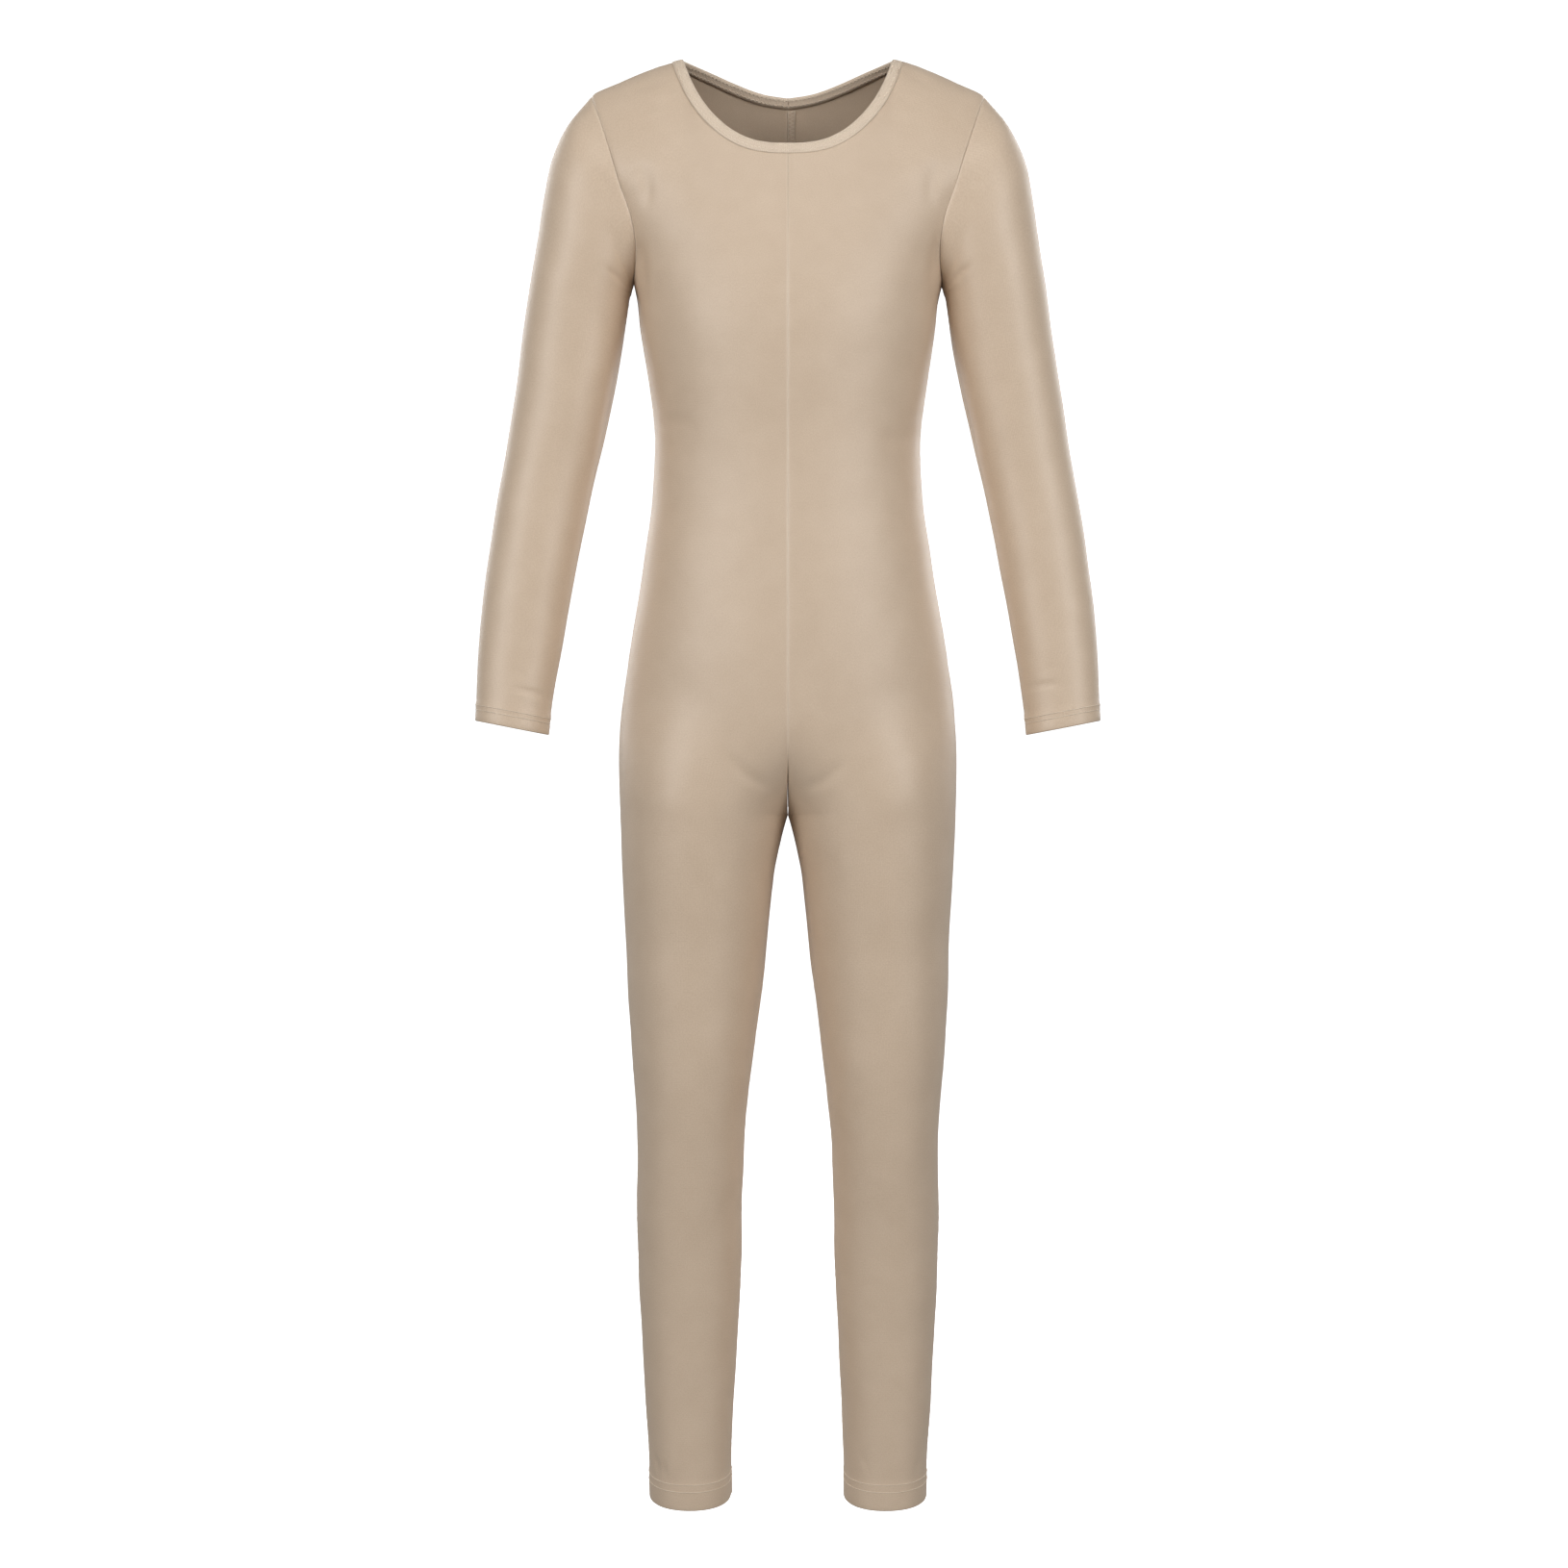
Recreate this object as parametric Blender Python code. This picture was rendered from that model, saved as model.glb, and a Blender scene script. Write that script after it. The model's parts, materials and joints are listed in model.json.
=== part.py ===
"""A child's dance unitard in thin stretch knit, filled out as worn and hollow all through.

Metres, +Z up, the front faces -Y and the wearer's left is +X. The origin lies between the
shoulders, level with the points where the shoulder seams meet the neck. A "drop" is a
distance down from there. Four panels make body and legs: front and back, left and right,
each with its leg. They meet at the centre front, centre back, sides, shoulders and inner
legs. Two sleeve tubes are set into the armholes, and an elasticated edge rings the neck.
"""

import math
from collections import namedtuple

import bmesh
import bpy
import numpy as np

# Cloth
WALL = 0.0012
SEAM_GAP = 0.0003
ANKLE_HEM = 0.017
WRIST_HEM = 0.011
HEM_STEP = 0.0012
NECK_EDGE_WIDTH = 0.007
NECK_EDGE_THICKNESS = 0.0022

# Levels, as drops
UNDERARM = 0.1547
UNDERARM_FOLD = 0.1125
CROTCH_RISE_START = 0.432
CROTCH = 0.5192
ANKLE = 0.9880
ANKLE_FRONT_DIP = 0.006
DIP_STARTS = 0.870

# Form
SQUARENESS = 2.2
SHOULDER_ROLL = 0.078
BACK_ARMHOLE_EASE = 0.004
NECK_SEAM_HALF_WIDTH = 0.079
SEAT_TURN = 3
ROW_HOLD = 0.6
ARM_AXIS = (0.5, 0.0, -1.0)
SLEEVE_LEAN = 0.6
UNDERARM_LEAN = 1.0
UNDERARM_TUCK = 0.8
FAN_SHARE = 0.2

# Faces of each panel and tube
NECK_COLUMNS = 8
SHOULDER_COLUMNS = 4
ARMHOLE_ROWS = 10
BODY_ROWS = 10
CROTCH_ROWS = 7
LEG_ROWS = 15
FAN_STEPS = 5
SLEEVE_STEPS = 10
TOP_ROW_BIAS = 1.4
LEG_ROW_BIAS = 1.2

# Sections of the body: drop, half width, depth forward, depth back
TORSO = (
    (0.0000, 0.1720, 0.0400, 0.0460),
    (0.0300, 0.1700, 0.0440, 0.0520),
    (0.0600, 0.1660, 0.0510, 0.0590),
    (0.0800, 0.1540, 0.0565, 0.0630),
    (0.1026, 0.1320, 0.0630, 0.0665),
    (0.1250, 0.1160, 0.0695, 0.0695),
    (0.1400, 0.1088, 0.0730, 0.0710),
    (0.1547, 0.1060, 0.0755, 0.0718),
    (0.1650, 0.1036, 0.0768, 0.0720),
    (0.1830, 0.1016, 0.0780, 0.0715),
    (0.2220, 0.0956, 0.0765, 0.0680),
    (0.2620, 0.0913, 0.0735, 0.0645),
    (0.2890, 0.0920, 0.0730, 0.0650),
    (0.3150, 0.0940, 0.0740, 0.0685),
    (0.3420, 0.0986, 0.0758, 0.0740),
    (0.3685, 0.1026, 0.0772, 0.0795),
    (0.3950, 0.1072, 0.0782, 0.0850),
    (0.4216, 0.1112, 0.0782, 0.0885),
    (0.4480, 0.1142, 0.0772, 0.0900),
    (0.4750, 0.1159, 0.0752, 0.0885),
    (0.5010, 0.1158, 0.0725, 0.0845),
    (0.5192, 0.1152, 0.0705, 0.0800),
)

# Sections of a leg: drop, inner side, outer side, depth forward, depth back, centre forward
LEG = (
    (0.5192, 0.0000, 0.1152, 0.0705, 0.0800, 0.000),
    (0.5280, 0.0024, 0.1149, 0.0695, 0.0775, 0.000),
    (0.5410, 0.0056, 0.1142, 0.0682, 0.0745, 0.000),
    (0.5540, 0.0083, 0.1135, 0.0668, 0.0715, 0.000),
    (0.5810, 0.0116, 0.1122, 0.0635, 0.0670, 0.000),
    (0.6080, 0.0146, 0.1109, 0.0600, 0.0635, 0.000),
    (0.6340, 0.0176, 0.1102, 0.0572, 0.0602, 0.001),
    (0.6610, 0.0212, 0.1086, 0.0545, 0.0570, 0.002),
    (0.6870, 0.0242, 0.1072, 0.0518, 0.0536, 0.003),
    (0.7140, 0.0276, 0.1049, 0.0490, 0.0500, 0.003),
    (0.7400, 0.0299, 0.1036, 0.0465, 0.0465, 0.002),
    (0.7670, 0.0309, 0.1036, 0.0440, 0.0455, 0.000),
    (0.7935, 0.0319, 0.1039, 0.0415, 0.0465, -0.002),
    (0.8200, 0.0318, 0.1033, 0.0395, 0.0465, -0.004),
    (0.8466, 0.0329, 0.1026, 0.0375, 0.0445, -0.005),
    (0.8732, 0.0345, 0.1009, 0.0358, 0.0415, -0.006),
    (0.8997, 0.0359, 0.0993, 0.0342, 0.0385, -0.006),
    (0.9262, 0.0376, 0.0979, 0.0326, 0.0358, -0.006),
    (0.9528, 0.0385, 0.0963, 0.0314, 0.0336, -0.006),
    (0.9880, 0.0388, 0.0950, 0.0305, 0.0325, -0.006),
    (1.0000, 0.0388, 0.0948, 0.0303, 0.0323, -0.006),
)

# Top of the shoulder seen from the front: distance from the centre, drop
SHOULDER_LINE = (
    (0.0000, -0.0220),
    (0.0400, -0.0110),
    (0.0717, -0.0005),
    (0.0863, 0.0033),
    (0.1036, 0.0100),
    (0.1189, 0.0166),
    (0.1335, 0.0236),
    (0.1450, 0.0330),
)

# Where the neck edge is sewn on: distance from the centre, drop
NECK_FRONT = (
    (0.0000, 0.0728),
    (0.0140, 0.0722),
    (0.0270, 0.0695),
    (0.0410, 0.0625),
    (0.0530, 0.0520),
    (0.0645, 0.0370),
    (0.0720, 0.0222),
    (0.0765, 0.0100),
)
NECK_BACK = (
    (0.0000, 0.0238),
    (0.0195, 0.0211),
    (0.0395, 0.0150),
    (0.0540, 0.0098),
    (0.0670, 0.0054),
)

# Armhole seam seen from the front: drop, distance from the centre
ARMHOLE = (
    (0.0247, 0.1355),
    (0.0515, 0.1262),
    (0.0749, 0.1187),
    (0.0915, 0.1139),
    (0.1026, 0.1098),
    (0.1125, 0.1066),
    (0.1250, 0.1043),
    (0.1400, 0.1038),
    (0.1547, 0.1060),
)

# Sections of a sleeve, fanned round the underarm and then square to the arm:
# inner side and its drop, outer side and its drop, half depth, centre forward
SLEEVE = (
    (0.1063, 0.1560, 0.1500, 0.0432, 0.0400, 0.000),
    (0.1067, 0.1572, 0.1604, 0.0630, 0.0400, 0.000),
    (0.1072, 0.1590, 0.1670, 0.0896, 0.0395, 0.000),
    (0.1079, 0.1615, 0.1723, 0.1220, 0.0382, 0.000),
    (0.1090, 0.1650, 0.1775, 0.1545, 0.0368, 0.000),
    (0.1118, 0.1840, 0.1803, 0.1735, 0.0358, -0.001),
    (0.1215, 0.2357, 0.1880, 0.2250, 0.0342, -0.002),
    (0.1335, 0.2888, 0.1959, 0.2790, 0.0322, -0.001),
    (0.1438, 0.3420, 0.2042, 0.3325, 0.0300, 0.003),
    (0.1534, 0.3950, 0.2102, 0.3862, 0.0272, 0.009),
    (0.1600, 0.4350, 0.2126, 0.4262, 0.0244, 0.015),
    (0.1633, 0.4638, 0.2131, 0.4542, 0.0236, 0.019),
)

# A side of the garment: its name, -1 at the front, its depth columns, neck and armhole
Side = namedtuple("Side", "name facing torso_depth leg_depth neck armhole_ease")
FRONT = Side("front", -1, 2, 3, NECK_FRONT, 0.0)
BACK = Side("back", 1, 3, 4, NECK_BACK, BACK_ARMHOLE_EASE)


def read(table, column, at):
    """One column of a table as a smooth curve over its first column."""
    rows = np.array(table)
    knots, values = rows[:, 0], rows[:, column]
    slopes = np.gradient(values, knots)
    at = np.clip(at, knots[0], knots[-1])
    i = np.clip(np.searchsorted(knots, at) - 1, 0, len(knots) - 2)
    span = knots[i + 1] - knots[i]
    t = (at - knots[i]) / span
    from_start = values[i] * (1 + 2 * t) * (1 - t) ** 2 + slopes[i] * span * t * (1 - t) ** 2
    from_end = values[i + 1] * t * t * (3 - 2 * t) - slopes[i + 1] * span * t * t * (1 - t)
    return from_start + from_end


def eased(t):
    t = np.clip(t, 0, 1)
    return t * t * (3 - 2 * t)


def squared_depth(x, drop, side):
    """Square of the upper body's depth at a point of the front view: no roots, so it is
    smooth over the top of the shoulder too."""
    width = read(TORSO, 1, drop)
    depth = read(TORSO, side.torso_depth, drop)
    across = np.clip(1 - (np.abs(x) / width) ** SQUARENESS, 1e-9, 1)
    fall = np.minimum((drop - read(SHOULDER_LINE, 1, np.abs(x))) / SHOULDER_ROLL, 1)
    return depth**2 * across ** (2 / SQUARENESS) * (2 * fall - fall**2)


def angle_at(x, drop, side):
    """Direction, from straight ahead, in which a body section passes a given width."""
    width = read(TORSO, 1, drop)
    depth = read(TORSO, side.torso_depth, drop)
    across = np.clip(1 - (x / width) ** SQUARENESS, 0, 1)
    return np.arctan2(x, depth * across ** (1 / SQUARENESS))


def body_point(angle, drop, side):
    """Point of a body section in a direction, with no shoulder."""
    width = read(TORSO, 1, drop)
    depth = read(TORSO, side.torso_depth, drop)
    sine, cosine = np.sin(angle), np.maximum(np.cos(angle), 0)
    reach = ((cosine / depth) ** SQUARENESS + (sine / width) ** SQUARENESS) ** (-1 / SQUARENESS)
    return reach * sine, side.facing * reach * cosine


def upper_point(angle, drop, side):
    x, _ = body_point(angle, drop, side)
    y = side.facing * np.sqrt(np.maximum(squared_depth(x, drop, side), 0))
    return np.stack([x, y, -drop], axis=-1)


def upper_normal(points, side):
    """Outward direction, from the slope of the squared depth."""
    x, y, drop = points[..., 0], points[..., 1], -points[..., 2]
    step = 1e-5
    across = squared_depth(x + step, drop, side) - squared_depth(x - step, drop, side)
    down = squared_depth(x, drop + step, side) - squared_depth(x, drop - step, side)
    normal = np.stack([-across / (2 * step), 2 * y, down / (2 * step)], axis=-1)
    return normal / np.linalg.norm(normal, axis=-1, keepdims=True)


def leg_point(u, drop, side):
    """Point of a leg's section, from the inner leg at u = 0 to the outer side at u = 1."""
    inner, outer = read(LEG, 1, drop), read(LEG, 2, drop)
    middle, half = (outer + inner) / 2, (outer - inner) / 2
    depth = read(LEG, side.leg_depth, drop)
    angle = math.pi * (1 - u)
    cosine, sine = np.abs(np.cos(angle)), np.sin(angle)
    reach = ((cosine / half) ** SQUARENESS + (sine / depth) ** SQUARENESS) ** (-1 / SQUARENESS)
    x = middle + reach * np.cos(angle)
    y = -read(LEG, 5, drop) + side.facing * reach * sine
    return np.stack([x, y, -drop], axis=-1)


def seat_point(u, drop, side):
    """Point where body turns into leg: the leg's section opens out as it rises and the
    centre seam cuts it, and it gives way to the body's section at the top."""
    rise = np.clip((CROTCH - drop) / (CROTCH - CROTCH_RISE_START), 0, 1 - 1e-6)
    outer = read(TORSO, 1, drop)
    depth = read(TORSO, side.torso_depth, drop)
    middle = outer / 2
    opened = middle / (1 - rise)
    at_seam = depth * (1 - (1 - rise) ** SQUARENESS) ** (1 / SQUARENESS)
    angle = math.pi * (1 - u) - np.arctan2(at_seam, middle) * (1 - u) ** SEAT_TURN
    half = np.where(angle > math.pi / 2, opened, middle)
    cosine, sine = np.abs(np.cos(angle)), np.sin(angle)
    reach = ((cosine / half) ** SQUARENESS + (sine / depth) ** SQUARENESS) ** (-1 / SQUARENESS)
    leg_x = np.maximum(middle + reach * np.cos(angle), 0)
    leg_y = side.facing * reach * sine
    body_x, body_y = body_point(u * math.pi / 2, drop, side)
    body = eased(rise)
    x = (1 - body) * leg_x + body * body_x
    y = (1 - body) * leg_y + body * body_y
    return np.stack([x, y, -drop], axis=-1)


def lower_point(u, drop, side):
    return np.where((drop > CROTCH)[..., None], leg_point(u, drop, side), seat_point(u, drop, side))


def lower_normal(u, drop, side):
    """Outward direction below the underarm, from two short steps on the surface."""
    step_u, step_drop = 1e-4, 1e-6
    along = lower_point(np.minimum(u + step_u, 1), drop, side)
    along -= lower_point(np.maximum(u - step_u, 0), drop, side)
    below = np.where(drop >= CROTCH, drop + 2 * step_drop, drop)
    above = np.where(drop >= CROTCH, drop + step_drop, drop - step_drop)
    down = lower_point(u, below, side) - lower_point(u, above, side)
    normal = np.cross(along, down) * side.facing
    return normal / np.linalg.norm(normal, axis=-1, keepdims=True)


def travelled(points):
    """Length of a line of points up to each of them."""
    return np.concatenate([[0], np.cumsum(np.linalg.norm(np.diff(points, axis=0), axis=1))])


def surface_line(x, drop, side):
    y = side.facing * np.sqrt(np.maximum(squared_depth(x, drop, side), 0))
    return np.stack([x, y, -drop], axis=-1)


def neck_line(t, side):
    """Front-view place on the neck seam, from the centre at t = 0 to the shoulder at t = 1."""
    top = (NECK_SEAM_HALF_WIDTH, float(read(SHOULDER_LINE, 1, NECK_SEAM_HALF_WIDTH)))
    rows = np.array(side.neck + (top,))
    run = travelled(rows)
    table = np.column_stack([run / run[-1], rows])
    return read(table, 1, t), read(table, 2, t)


def shoulder_line(t):
    x = NECK_SEAM_HALF_WIDTH + t * (ARMHOLE[0][1] - NECK_SEAM_HALF_WIDTH)
    return x, read(SHOULDER_LINE, 1, x)


def armhole_line(t, side):
    top = float(read(SHOULDER_LINE, 1, ARMHOLE[0][1]))
    drop = top + t * (UNDERARM - top)
    return read(ARMHOLE, 1, drop) + side.armhole_ease * np.sin(math.pi * t), drop


def edge_points(line, count, side):
    """Evenly spaced angle and drop along one of the lines above."""
    fine = np.linspace(0, 1, 400) ** 2
    run = travelled(surface_line(*line(fine), side))
    x, drop = line(np.interp(np.linspace(0, run[-1], count + 1), run, fine))
    return np.stack([angle_at(x, drop, side), drop], axis=-1)


def upper_grid(side):
    """Angle and drop of each point from the neck and shoulder down to the underarm, spread
    between the four edges."""
    neck = edge_points(lambda t: neck_line(t, side), NECK_COLUMNS, side)
    shoulder = edge_points(shoulder_line, SHOULDER_COLUMNS, side)
    top = np.concatenate([neck, shoulder[1:]])
    armhole = edge_points(lambda t: armhole_line(t, side), ARMHOLE_ROWS, side)
    u = np.linspace(0, 1, len(top))[:, None, None]
    s = np.linspace(0, 1, ARMHOLE_ROWS + 1)[None, :, None]
    bottom = np.stack([u[:, 0, 0] * math.pi / 2, np.full(len(top), UNDERARM)], axis=-1)
    warp = s**TOP_ROW_BIAS
    centre = np.concatenate([np.zeros_like(s), top[0, 1] + (UNDERARM - top[0, 1]) * warp], axis=-1)
    spread = (1 - warp) * top[:, None] + warp * bottom[:, None]
    spread += (1 - u) * centre + u * armhole[None]
    spread -= (1 - u) * ((1 - warp) * top[0] + warp * bottom[0])
    spread -= u * ((1 - warp) * top[-1] + warp * bottom[-1])
    return spread[..., 0], spread[..., 1]


def lower_rows(side):
    """Drop of each row at the centre or inner leg, and at the outer side."""
    body = np.linspace(UNDERARM, CROTCH_RISE_START, BODY_ROWS + 1)[1:]
    turn = np.linspace(0, 1, CROTCH_ROWS + 1)[1:]
    rise = CROTCH - CROTCH_RISE_START
    seat_inner = CROTCH - rise * (1 - np.sin(turn * math.pi / 2))
    seat_outer = CROTCH - rise * (1 - turn)
    hem = ANKLE - ANKLE_HEM
    leg = CROTCH + (hem - HEM_STEP - CROTCH) * np.linspace(0, 1, LEG_ROWS + 1)[1:] ** LEG_ROW_BIAS
    ends = np.concatenate([leg, [hem, ANKLE - ANKLE_HEM / 2, ANKLE]])
    return np.concatenate([body, seat_inner, ends]), np.concatenate([body, seat_outer, ends])


def unit(vectors):
    return vectors / np.linalg.norm(vectors, axis=-1, keepdims=True)


def panel_surface(side):
    """Outer points and outward directions of a left panel, its edges on the seams:
    columns run from the centre to the side, rows from the top to the ankle."""
    angle, drop = upper_grid(side)
    upper = upper_point(angle, drop, side)
    upper[NECK_COLUMNS:, 0, 1] = 0
    inner, outer = lower_rows(side)
    u = np.linspace(0, 1, NECK_COLUMNS + SHOULDER_COLUMNS + 1)[:, None]
    hold = (1 - np.clip(u / ROW_HOLD, 0, 1)) ** 2
    drop = hold * inner[None] + (1 - hold) * outer[None]
    u = np.broadcast_to(u, drop.shape)
    dip = ANKLE_FRONT_DIP if side is FRONT else 0.0
    drop = drop + dip * np.sin(math.pi * u) * eased((drop - DIP_STARTS) / (ANKLE - DIP_STARTS))
    points = np.concatenate([upper, lower_point(u, drop, side)], axis=1)
    outward = [upper_normal(upper, side), lower_normal(u, drop, side)]
    return points, np.concatenate(outward, axis=1)


def seam_ring(points, outward):
    """Closed ring of a seam: its points, the directions out of the cloth made square to
    it, and those across it, on the cloth."""
    around = unit(np.roll(points, -1, axis=0) - np.roll(points, 1, axis=0))
    square = unit(outward - (outward * around).sum(axis=1)[:, None] * around)
    return points, square, np.cross(square, around)


def armhole_ring():
    """The left armhole from the shoulder, down the front and up the back. The outward
    direction leans from the body's to the sleeve's; the last points down the arm."""
    front, front_out = panel_surface(FRONT)
    back, back_out = panel_surface(BACK)
    down, up = slice(0, ARMHOLE_ROWS + 1), slice(ARMHOLE_ROWS - 1, 0, -1)
    points = np.concatenate([front[-1, down], back[-1, up]])
    body_out = np.concatenate([front_out[-1, down], back_out[-1, up]])
    section = sleeve_section(0.0, len(points))
    away = section - section.mean(axis=0)
    arm = unit(np.array(ARM_AXIS))
    away = unit(away - (away @ arm)[:, None] * arm)
    low = eased((-points[:, 2] - UNDERARM_FOLD) / (UNDERARM - UNDERARM_FOLD))[:, None]
    lean = SLEEVE_LEAN + (UNDERARM_LEAN - SLEEVE_LEAN) * low
    return seam_ring(points, body_out + away * lean - low * [0, 0, UNDERARM_TUCK])


def neck_ring():
    """The neck seam once round: down the front on the wearer's left from the shoulder,
    over to the right and round the back. The last direction points down into the body."""
    front, front_out = panel_surface(FRONT)
    back, back_out = panel_surface(BACK)
    inwards, outwards = slice(NECK_COLUMNS, 0, -1), slice(0, NECK_COLUMNS)
    halves = []
    for front_half, back_half in ((front, back), (front_out, back_out)):
        left, right = front_half[inwards, 0], front_half[outwards, 0] * [-1, 1, 1]
        right_back, left_back = back_half[inwards, 0] * [-1, 1, 1], back_half[outwards, 0]
        halves.append(np.concatenate([left, right, right_back, left_back]))
    return seam_ring(*halves)


def on_panel(ring, side, count):
    """The first quarter or half of a seam ring that a left panel has, from its top or
    shoulder end: the ring runs down the front and back up, or round, over the back."""
    if side is FRONT:
        return [values[: count + 1] for values in ring]
    return [np.roll(values[::-1], 1, axis=0)[: count + 1] for values in ring]


def panel_grid(side):
    """A left panel drawn back from its seams by half the gap that pieces keep there: outer
    points, outward directions and wall thickness."""
    points, outward = panel_surface(side)
    _, arm_out, down_arm = on_panel(armhole_ring(), side, ARMHOLE_ROWS)
    _, neck_out, from_neck = on_panel(neck_ring(), side, NECK_COLUMNS)
    arm, neck = slice(0, ARMHOLE_ROWS + 1), slice(0, NECK_COLUMNS + 1)
    outward[-1, arm] = arm_out
    outward[neck, 0] = neck_out[::-1]
    thickness = np.full(points.shape[:2], WALL)
    thickness[:, -3:] = 2 * WALL
    half = SEAM_GAP / 2
    crotch_row = ARMHOLE_ROWS + BODY_ROWS + CROTCH_ROWS
    points[0, : crotch_row + 1, 0] += half
    points[0, crotch_row:, 1] += half * side.facing
    points[-1, ARMHOLE_ROWS:, 1] += half * side.facing
    points[NECK_COLUMNS:, 0, 1] += half * side.facing
    points[-1, arm] -= half * down_arm
    points[neck, 0] += half * from_neck[::-1]
    return points, outward, thickness


def sleeve_section(t, count):
    """Ring of the left sleeve at t, from 0 at the first row of the table to 1 at the wrist."""
    rows = np.array(SLEEVE)
    middles = np.column_stack([rows[:, 0] + rows[:, 2], rows[:, 1] + rows[:, 3]]) / 2
    run = travelled(middles)
    table = np.column_stack([run / run[-1], rows])
    inner_x, inner_drop, outer_x, outer_drop, half, forward = (read(table, k, t) for k in range(1, 7))
    angle = np.linspace(0, 2 * math.pi, count, endpoint=False)
    cosine, sine = np.cos(angle), np.sin(angle)
    reach = (np.abs(cosine) ** SQUARENESS + np.abs(sine) ** SQUARENESS) ** (-1 / SQUARENESS)
    along, aside = reach * cosine, reach * sine
    x = (inner_x + outer_x) / 2 + along * (outer_x - inner_x) / 2
    drop = (inner_drop + outer_drop) / 2 + along * (outer_drop - inner_drop) / 2
    return np.stack([x, -forward - aside * half, -drop], axis=-1)


def sleeve_grid():
    """Outer points, outward directions and thickness of the left sleeve: columns round it,
    rows from the armhole to the wrist."""
    seam, seam_out, down_arm = armhole_ring()
    length = SLEEVE[-1][1] - SLEEVE[0][3]
    hem = 1 - WRIST_HEM / length
    fan = np.linspace(0, FAN_SHARE, FAN_STEPS + 1)
    arm = np.linspace(FAN_SHARE, hem - HEM_STEP / length, SLEEVE_STEPS)[1:]
    places = np.concatenate([fan, arm, [hem, (1 + hem) / 2, 1.0]])
    rings = [seam] + [sleeve_section(t, len(seam)) for t in places]
    points = np.stack(rings, axis=1)
    around = np.roll(points, -1, axis=0) - np.roll(points, 1, axis=0)
    outward = unit(np.cross(around, np.gradient(points, axis=1)))
    outward[:, 0] = seam_out
    thickness = np.full(points.shape[:2], WALL)
    thickness[:, -3:] = 2 * WALL
    points[:, 0] += SEAM_GAP / 2 * down_arm
    return points, outward, thickness


def neck_grid():
    """Outer points, outward directions and thickness of the neck edge: columns round the
    neck, rows up from the seam."""
    seam, outward, from_neck = neck_ring()
    heights = (SEAM_GAP / 2, NECK_EDGE_WIDTH / 2, NECK_EDGE_WIDTH)
    points = np.stack([seam - height * from_neck for height in heights], axis=1)
    points += (NECK_EDGE_THICKNESS - WALL) / 2 * outward[:, None]
    spread = np.repeat(outward[:, None], len(heights), axis=1)
    return points, spread, np.full(points.shape[:2], NECK_EDGE_THICKNESS)


def material(name, colour, roughness):
    made = bpy.data.materials.new(name)
    made.use_nodes = True
    shader = made.node_tree.nodes["Principled BSDF"]
    shader.inputs["Base Color"].default_value = (*colour, 1.0)
    shader.inputs["Roughness"].default_value = roughness
    shader.inputs["Metallic"].default_value = 0.0
    return made


def wall(name, grid, finish, tube=False, mirrored=False):
    """One closed piece of cloth: a flat slab of faces, laid over the outer points and,
    under them, over the inner ones. A tube's two ends meet."""
    points, outward, thickness = grid
    if tube:
        points, outward, thickness = (np.concatenate([a, a[:1]]) for a in grid)
    layers = (points, points - thickness[..., None] * outward)
    columns, rows = points.shape[0] - 1, points.shape[1] - 1
    bm = bmesh.new()
    bmesh.ops.create_grid(bm, x_segments=columns, y_segments=rows, size=0.5)
    raised = bmesh.ops.extrude_face_region(bm, geom=bm.faces[:])["geom"]
    top = [item for item in raised if isinstance(item, bmesh.types.BMVert)]
    bmesh.ops.translate(bm, verts=top, vec=(0, 0, 1))
    if tube:
        ends = [face for face in bm.faces if on_end(face)]
        bmesh.ops.delete(bm, geom=ends, context="FACES")
    for vert in bm.verts:
        column = round((vert.co.x + 0.5) * columns)
        row = round((vert.co.y + 0.5) * rows)
        vert.co = layers[round(vert.co.z)][column, row] * ([-1, 1, 1] if mirrored else [1, 1, 1])
    if tube:
        bmesh.ops.remove_doubles(bm, verts=bm.verts[:], dist=1e-7)
    bmesh.ops.recalc_face_normals(bm, faces=bm.faces[:])
    if bm.calc_volume(signed=True) < 0:
        bmesh.ops.reverse_faces(bm, faces=bm.faces[:])
    mesh = bpy.data.meshes.new(name)
    bm.to_mesh(mesh)
    bm.free()
    mesh.materials.append(finish)
    obj = bpy.data.objects.new(name, mesh)
    bpy.context.scene.collection.objects.link(obj)
    return obj


def on_end(face):
    """Whether a face of the flat slab closes its first or last column."""
    return all(abs(abs(vert.co.x) - 0.5) < 1e-6 for vert in face.verts)


def clear_scene():
    for obj in list(bpy.data.objects):
        bpy.data.objects.remove(obj, do_unlink=True)


def main():
    clear_scene()
    knit = material("nude_stretch_knit", (0.69, 0.59, 0.48), 0.5)
    elastic = material("nude_elastic_edge", (0.74, 0.64, 0.52), 0.6)
    for side in (FRONT, BACK):
        grid = panel_grid(side)
        wall(f"{side.name}_left", grid, knit)
        wall(f"{side.name}_right", grid, knit, mirrored=True)
    wall("sleeve_left", sleeve_grid(), knit, tube=True)
    wall("sleeve_right", sleeve_grid(), knit, tube=True, mirrored=True)
    wall("neck_band", neck_grid(), elastic, tube=True)


main()
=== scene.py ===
import json
import math
from collections import namedtuple

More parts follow.
